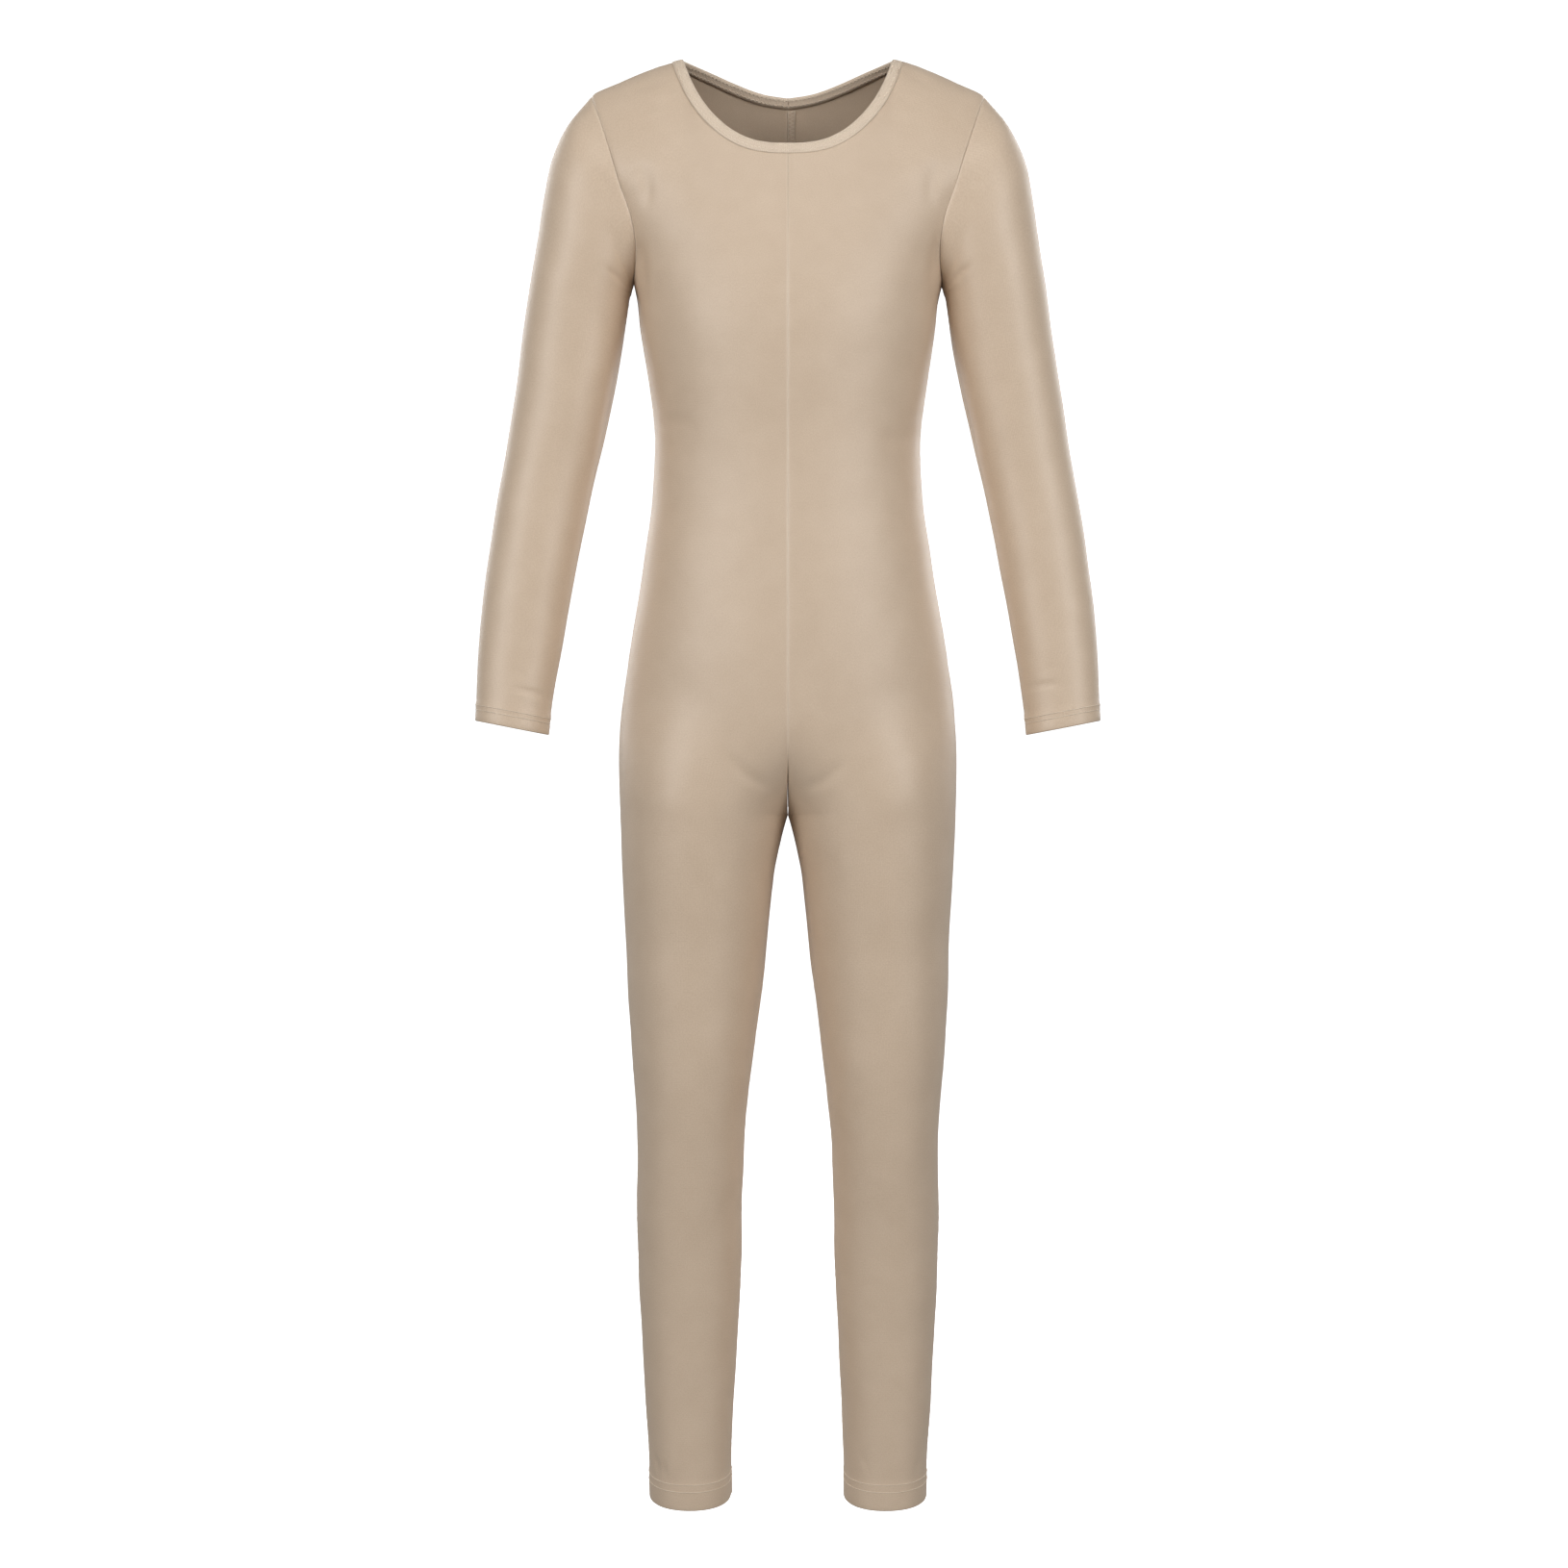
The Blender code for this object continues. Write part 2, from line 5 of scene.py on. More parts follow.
import bmesh
import bpy
import numpy as np
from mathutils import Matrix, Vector

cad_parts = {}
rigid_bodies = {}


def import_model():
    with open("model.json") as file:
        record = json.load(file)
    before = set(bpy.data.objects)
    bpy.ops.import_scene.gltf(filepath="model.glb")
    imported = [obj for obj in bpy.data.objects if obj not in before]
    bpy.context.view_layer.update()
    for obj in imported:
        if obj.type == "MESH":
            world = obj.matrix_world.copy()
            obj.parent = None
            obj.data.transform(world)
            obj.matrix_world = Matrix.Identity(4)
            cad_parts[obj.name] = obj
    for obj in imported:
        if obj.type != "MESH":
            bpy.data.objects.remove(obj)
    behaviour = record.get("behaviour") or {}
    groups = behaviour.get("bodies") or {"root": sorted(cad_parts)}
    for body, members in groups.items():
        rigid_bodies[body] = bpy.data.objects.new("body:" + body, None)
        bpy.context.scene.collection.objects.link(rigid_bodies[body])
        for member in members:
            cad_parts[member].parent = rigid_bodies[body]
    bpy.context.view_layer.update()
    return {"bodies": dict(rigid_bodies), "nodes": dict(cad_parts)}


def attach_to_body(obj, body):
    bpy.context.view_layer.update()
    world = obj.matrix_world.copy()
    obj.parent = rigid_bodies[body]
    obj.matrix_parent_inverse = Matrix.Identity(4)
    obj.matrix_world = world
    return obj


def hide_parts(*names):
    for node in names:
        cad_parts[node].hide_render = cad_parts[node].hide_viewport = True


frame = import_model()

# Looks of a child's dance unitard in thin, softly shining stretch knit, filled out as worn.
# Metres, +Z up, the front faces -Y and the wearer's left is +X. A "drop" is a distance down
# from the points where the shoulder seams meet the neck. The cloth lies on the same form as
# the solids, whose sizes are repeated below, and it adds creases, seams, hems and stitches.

# Cloth and hems. A hem stands proud by its rise, which fades over its step, and its edge
# rolls under through the listed degrees.
CLOTH = 0.0007
ANKLE_HEM = 0.017
WRIST_HEM = 0.011
HEM_RISE = 0.0004
HEM_STEP = 0.0016
HEM_STEP_ABOVE = 0.0022
HEM_FOLD = 0.0008
HEM_ROLL = (36, 72, 108, 144, 180)
HEM_INSIDE_ROWS = 5

# Levels, as drops
UNDERARM = 0.1547
UNDERARM_FOLD = 0.1125
CROTCH_RISE_START = 0.432
CROTCH = 0.5192
ANKLE = 0.9880
ANKLE_FRONT_DIP = 0.006
DIP_STARTS = 0.870

# Form
SQUARENESS = 2.2
SHOULDER_ROLL = 0.078
BACK_ARMHOLE_EASE = 0.004
NECK_SEAM_HALF_WIDTH = 0.079
SEAT_TURN = 3
ROW_HOLD = 0.6
ARM_AXIS = (0.5, 0.0, -1.0)
SLEEVE_LEAN = 0.6
UNDERARM_LEAN = 1.0
UNDERARM_TUCK = 0.8
FAN_SHARE = 0.2
FAN_STEPS = 5

# Faces of each sheet, closer together beside the seams: there in shares of a panel, or
# that many times as much in stations of a sleeve
NEAR_SEAM = (0.0, 0.004, 0.010, 0.019)
SLEEVE_NEAR_SEAM = 8
NECK_SHARE = 8 / 12
NECK_COLUMNS = 33
SHOULDER_COLUMNS = 16
ARMHOLE_ROWS = 44
BODY_ROWS = 84
CROTCH_ROWS = 34
LEG_ROWS = 150
LEG_EASE = 0.35
SLEEVE_STATIONS = 14
ROWS_A_STATION = 9
EDGE_SAMPLES = 800

# Sections of the body: drop, half width, depth forward, depth back
TORSO = (
    (0.0000, 0.1720, 0.0400, 0.0460),
    (0.0300, 0.1700, 0.0440, 0.0520),
    (0.0600, 0.1660, 0.0510, 0.0590),
    (0.0800, 0.1540, 0.0565, 0.0630),
    (0.1026, 0.1320, 0.0630, 0.0665),
    (0.1250, 0.1160, 0.0695, 0.0695),
    (0.1400, 0.1088, 0.0730, 0.0710),
    (0.1547, 0.1060, 0.0755, 0.0718),
    (0.1650, 0.1036, 0.0768, 0.0720),
    (0.1830, 0.1016, 0.0780, 0.0715),
    (0.2220, 0.0956, 0.0765, 0.0680),
    (0.2620, 0.0913, 0.0735, 0.0645),
    (0.2890, 0.0920, 0.0730, 0.0650),
    (0.3150, 0.0940, 0.0740, 0.0685),
    (0.3420, 0.0986, 0.0758, 0.0740),
    (0.3685, 0.1026, 0.0772, 0.0795),
    (0.3950, 0.1072, 0.0782, 0.0850),
    (0.4216, 0.1112, 0.0782, 0.0885),
    (0.4480, 0.1142, 0.0772, 0.0900),
    (0.4750, 0.1159, 0.0752, 0.0885),
    (0.5010, 0.1158, 0.0725, 0.0845),
    (0.5192, 0.1152, 0.0705, 0.0800),
)

# Sections of a leg: drop, inner side, outer side, depth forward, depth back, centre forward
LEG = (
    (0.5192, 0.0000, 0.1152, 0.0705, 0.0800, 0.000),
    (0.5280, 0.0024, 0.1149, 0.0695, 0.0775, 0.000),
    (0.5410, 0.0056, 0.1142, 0.0682, 0.0745, 0.000),
    (0.5540, 0.0083, 0.1135, 0.0668, 0.0715, 0.000),
    (0.5810, 0.0116, 0.1122, 0.0635, 0.0670, 0.000),
    (0.6080, 0.0146, 0.1109, 0.0600, 0.0635, 0.000),
    (0.6340, 0.0176, 0.1102, 0.0572, 0.0602, 0.001),
    (0.6610, 0.0212, 0.1086, 0.0545, 0.0570, 0.002),
    (0.6870, 0.0242, 0.1072, 0.0518, 0.0536, 0.003),
    (0.7140, 0.0276, 0.1049, 0.0490, 0.0500, 0.003),
    (0.7400, 0.0299, 0.1036, 0.0465, 0.0465, 0.002),
    (0.7670, 0.0309, 0.1036, 0.0440, 0.0455, 0.000),
    (0.7935, 0.0319, 0.1039, 0.0415, 0.0465, -0.002),
    (0.8200, 0.0318, 0.1033, 0.0395, 0.0465, -0.004),
    (0.8466, 0.0329, 0.1026, 0.0375, 0.0445, -0.005),
    (0.8732, 0.0345, 0.1009, 0.0358, 0.0415, -0.006),
    (0.8997, 0.0359, 0.0993, 0.0342, 0.0385, -0.006),
    (0.9262, 0.0376, 0.0979, 0.0326, 0.0358, -0.006),
    (0.9528, 0.0385, 0.0963, 0.0314, 0.0336, -0.006),
    (0.9880, 0.0388, 0.0950, 0.0305, 0.0325, -0.006),
    (1.0000, 0.0388, 0.0948, 0.0303, 0.0323, -0.006),
)

# Top of the shoulder seen from the front: distance from the centre, drop
SHOULDER_LINE = (
    (0.0000, -0.0220),
    (0.0400, -0.0110),
    (0.0717, -0.0005),
    (0.0863, 0.0033),
    (0.1036, 0.0100),
    (0.1189, 0.0166),
    (0.1335, 0.0236),
    (0.1450, 0.0330),
)

# Where the neck edge is sewn on: distance from the centre, drop
NECK_FRONT = (
    (0.0000, 0.0728),
    (0.0140, 0.0722),
    (0.0270, 0.0695),
    (0.0410, 0.0625),
    (0.0530, 0.0520),
    (0.0645, 0.0370),
    (0.0720, 0.0222),
    (0.0765, 0.0100),
)
NECK_BACK = (
    (0.0000, 0.0238),
    (0.0195, 0.0211),
    (0.0395, 0.0150),
    (0.0540, 0.0098),
    (0.0670, 0.0054),
)

# Armhole seam seen from the front: drop, distance from the centre
ARMHOLE = (
    (0.0247, 0.1355),
    (0.0515, 0.1262),
    (0.0749, 0.1187),
    (0.0915, 0.1139),
    (0.1026, 0.1098),
    (0.1125, 0.1066),
    (0.1250, 0.1043),
    (0.1400, 0.1038),
    (0.1547, 0.1060),
)

# Sections of a sleeve, fanned round the underarm and then square to the arm:
# inner side and its drop, outer side and its drop, half depth, centre forward
SLEEVE = (
    (0.1063, 0.1560, 0.1500, 0.0432, 0.0400, 0.000),
    (0.1067, 0.1572, 0.1604, 0.0630, 0.0400, 0.000),
    (0.1072, 0.1590, 0.1670, 0.0896, 0.0395, 0.000),
    (0.1079, 0.1615, 0.1723, 0.1220, 0.0382, 0.000),
    (0.1090, 0.1650, 0.1775, 0.1545, 0.0368, 0.000),
    (0.1118, 0.1840, 0.1803, 0.1735, 0.0358, -0.001),
    (0.1215, 0.2357, 0.1880, 0.2250, 0.0342, -0.002),
    (0.1335, 0.2888, 0.1959, 0.2790, 0.0322, -0.001),
    (0.1438, 0.3420, 0.2042, 0.3325, 0.0300, 0.003),
    (0.1534, 0.3950, 0.2102, 0.3862, 0.0272, 0.009),
    (0.1600, 0.4350, 0.2126, 0.4262, 0.0244, 0.015),
    (0.1633, 0.4638, 0.2131, 0.4542, 0.0236, 0.019),
)

# Creases, each from one place to another in the front view:
# x and drop of its start, x and drop of its end, half width, depth, bow
FRONT_CREASES = (
    (-0.1060, 0.0245, -0.0757, 0.0136, 0.0022, 0.0010, 0.0010),
    (-0.1016, 0.0179, -0.0785, 0.0094, 0.0018, 0.0007, 0.0006),
    (-0.0931, 0.0345, -0.0740, 0.0332, 0.0022, 0.0006, -0.0008),
    (-0.1047, 0.0526, -0.0699, 0.0456, 0.0032, 0.0007, 0.0012),
    (0.0757, 0.0128, 0.1029, 0.0169, 0.0021, 0.0010, -0.0008),
    (0.0809, 0.0172, 0.1041, 0.0216, 0.0020, 0.0008, -0.0006),
    (0.0766, 0.0338, 0.0944, 0.0358, 0.0023, 0.0006, 0.0007),
    (0.0646, 0.0472, 0.0941, 0.0503, 0.0030, 0.0006, 0.0010),
    (-0.1070, 0.0905, -0.0945, 0.0800, 0.0030, 0.0011, 0.0010),
    (-0.0985, 0.0790, -0.0955, 0.1080, 0.0060, 0.0013, 0.0015),
    (0.1083, 0.0890, 0.0970, 0.0819, 0.0030, 0.0010, -0.0010),
    (0.1000, 0.0790, 0.0975, 0.1060, 0.0060, 0.0012, -0.0015),
    (-0.1040, 0.1250, -0.0975, 0.1690, 0.0050, 0.0016, 0.0015),
    (0.1040, 0.1250, 0.0980, 0.1660, 0.0050, 0.0015, -0.0015),
    (-0.0885, 0.2520, -0.0620, 0.2580, 0.0060, 0.0006, 0.0020),
    (0.0890, 0.2600, 0.0580, 0.2660, 0.0065, 0.0006, 0.0020),
    (-0.0120, 0.5010, -0.0420, 0.4760, 0.0055, 0.0008, 0.0030),
    (0.0110, 0.5020, 0.0400, 0.4800, 0.0055, 0.0008, -0.0030),
    (-0.0918, 0.9570, -0.0880, 0.9714, 0.0020, 0.0007, 0.0008),
    (-0.0848, 0.9605, -0.0832, 0.9721, 0.0018, 0.0006, -0.0005),
    (0.0905, 0.9590, 0.0872, 0.9710, 0.0019, 0.0006, -0.0006),
    (0.0500, 0.9560, 0.0545, 0.9690, 0.0020, 0.0004, 0.0006),
)
BACK_CREASES = (
    (-0.1040, 0.0235, -0.0740, 0.0150, 0.0024, 0.0009, 0.0010),
    (-0.0960, 0.0330, -0.0700, 0.0290, 0.0026, 0.0006, 0.0008),
    (0.0765, 0.0140, 0.1020, 0.0200, 0.0023, 0.0009, -0.0008),
    (0.0700, 0.0310, 0.0980, 0.0365, 0.0028, 0.0006, -0.0010),
    (-0.1120, 0.0960, -0.0860, 0.1120, 0.0045, 0.0014, 0.0015),
    (-0.1050, 0.1350, -0.0820, 0.1450, 0.0045, 0.0011, -0.0015),
    (0.1110, 0.0990, 0.0850, 0.1170, 0.0045, 0.0013, -0.0015),
    (0.1050, 0.1370, 0.0840, 0.1430, 0.0045, 0.0010, 0.0015),
    (-0.0800, 0.2480, 0.0250, 0.2560, 0.0065, 0.0010, 0.0040),
    (-0.0300, 0.2690, 0.0790, 0.2640, 0.0070, 0.0011, 0.0045),
    (-0.0870, 0.2900, -0.0150, 0.2990, 0.0065, 0.0008, 0.0035),
    (0.0870, 0.2360, 0.0360, 0.2420, 0.0060, 0.0007, 0.0030),
    (-0.0150, 0.5120, -0.0760, 0.5240, 0.0070, 0.0014, 0.0060),
    (0.0150, 0.5140, 0.0780, 0.5220, 0.0070, 0.0013, 0.0060),
    (-0.0480, 0.5380, -0.0900, 0.5420, 0.0060, 0.0007, 0.0030),
    (0.0450, 0.5400, 0.0860, 0.5460, 0.0060, 0.0007, 0.0030),
    (-0.0920, 0.7330, -0.0450, 0.7390, 0.0055, 0.0010, 0.0025),
    (-0.0870, 0.7570, -0.0420, 0.7520, 0.0050, 0.0009, -0.0020),
    (0.0440, 0.7350, 0.0930, 0.7410, 0.0055, 0.0010, 0.0025),
    (0.0480, 0.7600, 0.0880, 0.7550, 0.0050, 0.0008, -0.0020),
    (-0.0900, 0.9560, -0.0800, 0.9700, 0.0024, 0.0006, 0.0010),
    (0.0870, 0.9540, 0.0800, 0.9695, 0.0024, 0.0006, -0.0010),
)
SLEEVE_FRONT_CREASES = (
    (-0.1885, 0.4335, -0.1600, 0.4405, 0.0022, 0.0010, 0.0012),
    (-0.1880, 0.4215, -0.1780, 0.4235, 0.0018, 0.0006, 0.0004),
    (0.1625, 0.4325, 0.1880, 0.4310, 0.0022, 0.0009, 0.0012),
    (0.1745, 0.4190, 0.1860, 0.4200, 0.0020, 0.0005, 0.0004),
    (-0.1150, 0.1900, -0.1320, 0.2900, 0.0070, 0.0012, 0.0020),
    (0.1150, 0.1880, 0.1330, 0.2950, 0.0070, 0.0012, -0.0020),
    (-0.1230, 0.1480, -0.1090, 0.1600, 0.0035, 0.0009, 0.0010),
    (0.1240, 0.1460, 0.1090, 0.1590, 0.0035, 0.0009, -0.0010),
    (-0.1330, 0.0840, -0.1190, 0.0960, 0.0040, 0.0006, 0.0010),
    (0.1340, 0.0860, 0.1190, 0.0950, 0.0040, 0.0006, -0.0010),
)
SLEEVE_BACK_CREASES = (
    (-0.1260, 0.1360, -0.1090, 0.1560, 0.0040, 0.0012, 0.0010),
    (0.1270, 0.1340, 0.1090, 0.1550, 0.0040, 0.0012, -0.0010),
    (-0.1880, 0.2600, -0.1450, 0.2680, 0.0045, 0.0009, 0.0020),
    (-0.1920, 0.2780, -0.1600, 0.2800, 0.0045, 0.0007, -0.0015),
    (0.1400, 0.2620, 0.1880, 0.2560, 0.0045, 0.0009, 0.0020),
    (0.1560, 0.2790, 0.1920, 0.2740, 0.0045, 0.0007, -0.0015),
    (-0.1950, 0.4280, -0.1680, 0.4340, 0.0024, 0.0008, 0.0010),
    (0.1690, 0.4300, 0.1940, 0.4350, 0.0024, 0.0008, 0.0010),
)

# Slow unevenness of the filled cloth: waves a metre across, waves a metre down, start, height
SWELLS = (
    (5.0, 3.1, 0.4, 0.00035),
    (-7.3, 4.2, 1.9, 0.00028),
    (12.1, -6.4, 3.3, 0.00016),
    (9.4, 11.7, 5.2, 0.00014),
    (-21.0, 16.5, 0.9, 0.00007),
    (26.3, 19.8, 2.6, 0.00006),
)

# Creases: their run past both ends, their fades, their width at the ends, the ridges
# beside them, and the blend from front to back on a sleeve
CREASE_OVERRUN = 0.1
CREASE_FADE_IN = 0.4
CREASE_FADE_OUT = 0.5
CREASE_END_WIDTH = 0.7
CREASE_RIDGE = 0.75
SLEEVE_SIDE_BLEND = 0.01

# Seams: their sink, their pale mark (thread colour and painted highlight), the calm band
# along them, and the puckers beside them, whose wander says how far and how often
SEAM_SINK = 0.00045
SEAM_HALF_WIDTH = 0.0011
SEAM_THREAD_AND_HIGHLIGHT_HALF_WIDTH = 0.0007
SEAM_CALM = 0.8
SEAM_CALM_WIDTH = 0.002
NECK_CALM_WIDTH = 0.004
PUCKER_PITCH = 0.0047
PUCKER_HEIGHT = 0.00016
PUCKER_REACH = 0.0050
PUCKER_START = 0.001
PUCKER_WANDER = ((1.7, 190), (0.9, 71))

# Hem stitches: distances of the rows from the hem's edge, and their pull on the cloth
ANKLE_STITCH_ROWS = (0.0170, 0.0120)
WRIST_STITCH_ROWS = (0.0105, 0.0072)
STITCH_SINK = 0.00028
STITCH_SINK_HALF_WIDTH = 0.0007
HEM_STITCH = 0.0031
HEM_STITCH_LEVEL = 0.00012
HEM_STITCH_LIFT = 0.00016
THREAD = 0.00021

# Strip folded over the neck edge. Its profile is up from the seam, out of the cloth.
NECK_EDGE_WIDTH = 0.0072
NECK_EDGE_THICKNESS = 0.0004
NECK_EDGE_PROFILE = (
    (-0.0008, 0.00030),
    (0.0004, 0.00055),
    (0.0016, 0.00042),
    (0.0030, 0.00065),
    (0.0042, 0.00065),
    (0.0054, 0.00042),
    (NECK_EDGE_WIDTH - 0.0008, 0.00050),
    (NECK_EDGE_WIDTH - 0.0002, 0.00015),
    (NECK_EDGE_WIDTH, -0.00050),
    (NECK_EDGE_WIDTH - 0.0002, -0.00120),
    (NECK_EDGE_WIDTH - 0.0010, -0.00165),
    (0.0040, -0.00175),
    (0.0018, -0.00165),
    (-0.0006, -0.00160),
)
NECK_RIPPLE = 0.0031
NECK_RIPPLE_HEIGHT = 0.0001
NECK_RIPPLE_WANDER = 120

# Its zigzag rows: heights, and the face and level of the outer and inner ones
NECK_ZIGZAG_ROWS = (0.0016, 0.0054)
NECK_ZIGZAG_FACES = ((1, 0.00050), (-1, -0.00200))
NECK_ZIGZAG = 0.0030
NECK_ZIGZAG_SWING = 0.00065
NECK_ZIGZAG_LIFT = 0.00012

# Overlocked allowances inside the seams, with levels below the cloth's inner face
ALLOWANCE = 0.005
ALLOWANCE_SIDES = 12
ALLOWANCE_LEVEL = 0.0006
ALLOWANCE_HALF_THICKNESS = 0.0005
ALLOWANCE_FREE_ROWS = (2, 6)
OVERLOCK = 0.0028
OVERLOCK_SWING = 0.42 * ALLOWANCE
OVERLOCK_LIFT = 0.0001
OVERLOCK_LEVEL = 0.00118
EDGE_THREAD_LEVEL = 0.0010
EDGE_THREAD_INSETS = (0.0002, 0.0004)
EDGE_THREAD_STEP = 0.004

# Camera, looking level from in front; the picture is square
CAMERA_PLACE = (-0.00266, -2.4, -0.498)
CAMERA_LENS = 80.0
CAMERA_SENSOR = 36.0

# Studio: dome, floor and surround, and the name, place, size and power of each light
DOME_RADIUS = 9.0
DOME_MIDDLE = 1.0
FLOOR_LEVEL = -1.06
SURROUND = 0.22
LIGHTS_AIM = (0, 0, -0.30)
LIGHTS = (
    ("soft light left", (-1.9, -2.2, 0.35), 1.3, 34),
    ("soft light right", (1.9, -2.2, 0.35), 1.3, 34),
    ("soft light top", (0.0, -1.6, 1.6), 1.2, 10),
    ("soft light back left", (-1.6, 2.2, 0.5), 1.6, 22),
    ("soft light back right", (1.6, 2.2, 0.5), 1.6, 22),
)

# A side of the garment: its name, -1 at the front, its depth columns, neck and armhole
Side = namedtuple("Side", "name facing torso_depth leg_depth neck armhole_ease creases sleeve_creases")
FRONT = Side("front", -1, 2, 3, NECK_FRONT, 0.0, FRONT_CREASES, SLEEVE_FRONT_CREASES)
BACK = Side("back", 1, 3, 4, NECK_BACK, BACK_ARMHOLE_EASE, BACK_CREASES, SLEEVE_BACK_CREASES)

# A sheet's points, the directions out of it, and how much each point lies on a seam,
# where its colour is lightened as pale thread and painted highlight
Cut = namedtuple("Cut", "points outward seam")


# Curves and directions

def smooth(knots, values, at):
    """A smooth curve through values, one row for each knot."""
    slopes = np.gradient(values, knots, axis=0)
    at = np.clip(at, knots[0], knots[-1])
    i = np.clip(np.searchsorted(knots, at) - 1, 0, len(knots) - 2)
    spread = (Ellipsis,) + (None,) * (values.ndim - 1)
    span = (knots[i + 1] - knots[i])[spread]
    t = ((at - knots[i]) / (knots[i + 1] - knots[i]))[spread]
    from_start = values[i] * (1 + 2 * t) * (1 - t) ** 2 + slopes[i] * span * t * (1 - t) ** 2
    from_end = values[i + 1] * t * t * (3 - 2 * t) - slopes[i + 1] * span * t * t * (1 - t)
    return from_start + from_end


def read(table, column, at):
    rows = np.array(table)
    return smooth(rows[:, 0], rows[:, column], at)


def eased(t):
    t = np.clip(t, 0, 1)
    return t * t * (3 - 2 * t)


def unit(vectors):
    return vectors / np.linalg.norm(vectors, axis=-1, keepdims=True)


def travelled(points):
    """Length of a line of points up to each of them."""
    return np.concatenate([[0], np.cumsum(np.linalg.norm(np.diff(points, axis=0), axis=1))])


# Form of the body and legs

def squared_depth(x, drop, side):
    """Square of the upper body's depth at a point of the front view."""
    width = read(TORSO, 1, drop)
    depth = read(TORSO, side.torso_depth, drop)
    across = np.clip(1 - (np.abs(x) / width) ** SQUARENESS, 1e-9, 1)
    fall = np.minimum((drop - read(SHOULDER_LINE, 1, np.abs(x))) / SHOULDER_ROLL, 1)
    return depth**2 * across ** (2 / SQUARENESS) * (2 * fall - fall**2)


def angle_at(x, drop, side):
    width = read(TORSO, 1, drop)
    depth = read(TORSO, side.torso_depth, drop)
    across = np.clip(1 - (x / width) ** SQUARENESS, 0, 1)
    return np.arctan2(x, depth * across ** (1 / SQUARENESS))


def body_point(angle, drop, side):
    width = read(TORSO, 1, drop)
    depth = read(TORSO, side.torso_depth, drop)
    sine, cosine = np.sin(angle), np.maximum(np.cos(angle), 0)
    reach = ((cosine / depth) ** SQUARENESS + (sine / width) ** SQUARENESS) ** (-1 / SQUARENESS)
    return reach * sine, side.facing * reach * cosine


def upper_point(angle, drop, side):
    x, _ = body_point(angle, drop, side)
    return surface_line(x, drop, side)


def surface_line(x, drop, side):
    y = side.facing * np.sqrt(np.maximum(squared_depth(x, drop, side), 0))
    return np.stack([x, y, -drop], axis=-1)


def upper_normal(points, side):
    x, y, drop = points[..., 0], points[..., 1], -points[..., 2]
    step = 1e-5
    across = squared_depth(x + step, drop, side) - squared_depth(x - step, drop, side)
    down = squared_depth(x, drop + step, side) - squared_depth(x, drop - step, side)
    return unit(np.stack([-across / (2 * step), 2 * y, down / (2 * step)], axis=-1))


def leg_point(u, drop, side):
    """Point of a leg's section, from the inner leg at u = 0 to the outer side at u = 1."""
    inner, outer = read(LEG, 1, drop), read(LEG, 2, drop)
    middle, half = (outer + inner) / 2, (outer - inner) / 2
    depth = read(LEG, side.leg_depth, drop)
    angle = math.pi * (1 - u)
    cosine, sine = np.abs(np.cos(angle)), np.sin(angle)
    reach = ((cosine / half) ** SQUARENESS + (sine / depth) ** SQUARENESS) ** (-1 / SQUARENESS)
    x = middle + reach * np.cos(angle)
    y = -read(LEG, 5, drop) + side.facing * reach * sine
    return np.stack([x, y, -drop], axis=-1)


def seat_point(u, drop, side):
    """Point where body turns into leg."""
    rise = np.clip((CROTCH - drop) / (CROTCH - CROTCH_RISE_START), 0, 1 - 1e-6)
    outer = read(TORSO, 1, drop)
    depth = read(TORSO, side.torso_depth, drop)
    middle = outer / 2
    opened = middle / (1 - rise)
    at_seam = depth * (1 - (1 - rise) ** SQUARENESS) ** (1 / SQUARENESS)
    angle = math.pi * (1 - u) - np.arctan2(at_seam, middle) * (1 - u) ** SEAT_TURN
    half = np.where(angle > math.pi / 2, opened, middle)
    cosine, sine = np.abs(np.cos(angle)), np.sin(angle)
    reach = ((cosine / half) ** SQUARENESS + (sine / depth) ** SQUARENESS) ** (-1 / SQUARENESS)
    leg_x = np.maximum(middle + reach * np.cos(angle), 0)
    leg_y = side.facing * reach * sine
    body_x, body_y = body_point(u * math.pi / 2, drop, side)
    body = eased(rise)
    x = (1 - body) * leg_x + body * body_x
    y = (1 - body) * leg_y + body * body_y
    return np.stack([x, y, -drop], axis=-1)


def lower_point(u, drop, side):
    return np.where((drop > CROTCH)[..., None], leg_point(u, drop, side), seat_point(u, drop, side))


def lower_normal(u, drop, side):
    step_u, step_drop = 1e-4, 1e-6
    along = lower_point(np.minimum(u + step_u, 1), drop, side)
    along -= lower_point(np.maximum(u - step_u, 0), drop, side)
    below = np.where(drop >= CROTCH, drop + 2 * step_drop, drop)
    above = np.where(drop >= CROTCH, drop + step_drop, drop - step_drop)
    down = lower_point(u, below, side) - lower_point(u, above, side)
    return unit(np.cross(along, down) * side.facing)


def neck_line(t, side):
    """Front-view place on the neck seam, from the centre at t = 0 to the shoulder at t = 1."""
    top = (NECK_SEAM_HALF_WIDTH, float(read(SHOULDER_LINE, 1, NECK_SEAM_HALF_WIDTH)))
    rows = np.array(side.neck + (top,))
    run = travelled(rows)
    table = np.column_stack([run / run[-1], rows])
    return read(table, 1, t), read(table, 2, t)


def shoulder_line(t):
    x = NECK_SEAM_HALF_WIDTH + t * (ARMHOLE[0][1] - NECK_SEAM_HALF_WIDTH)
    return x, read(SHOULDER_LINE, 1, x)


def armhole_line(t, side):
    top = float(read(SHOULDER_LINE, 1, ARMHOLE[0][1]))
    drop = top + t * (UNDERARM - top)
    return read(ARMHOLE, 1, drop) + side.armhole_ease * np.sin(math.pi * t), drop


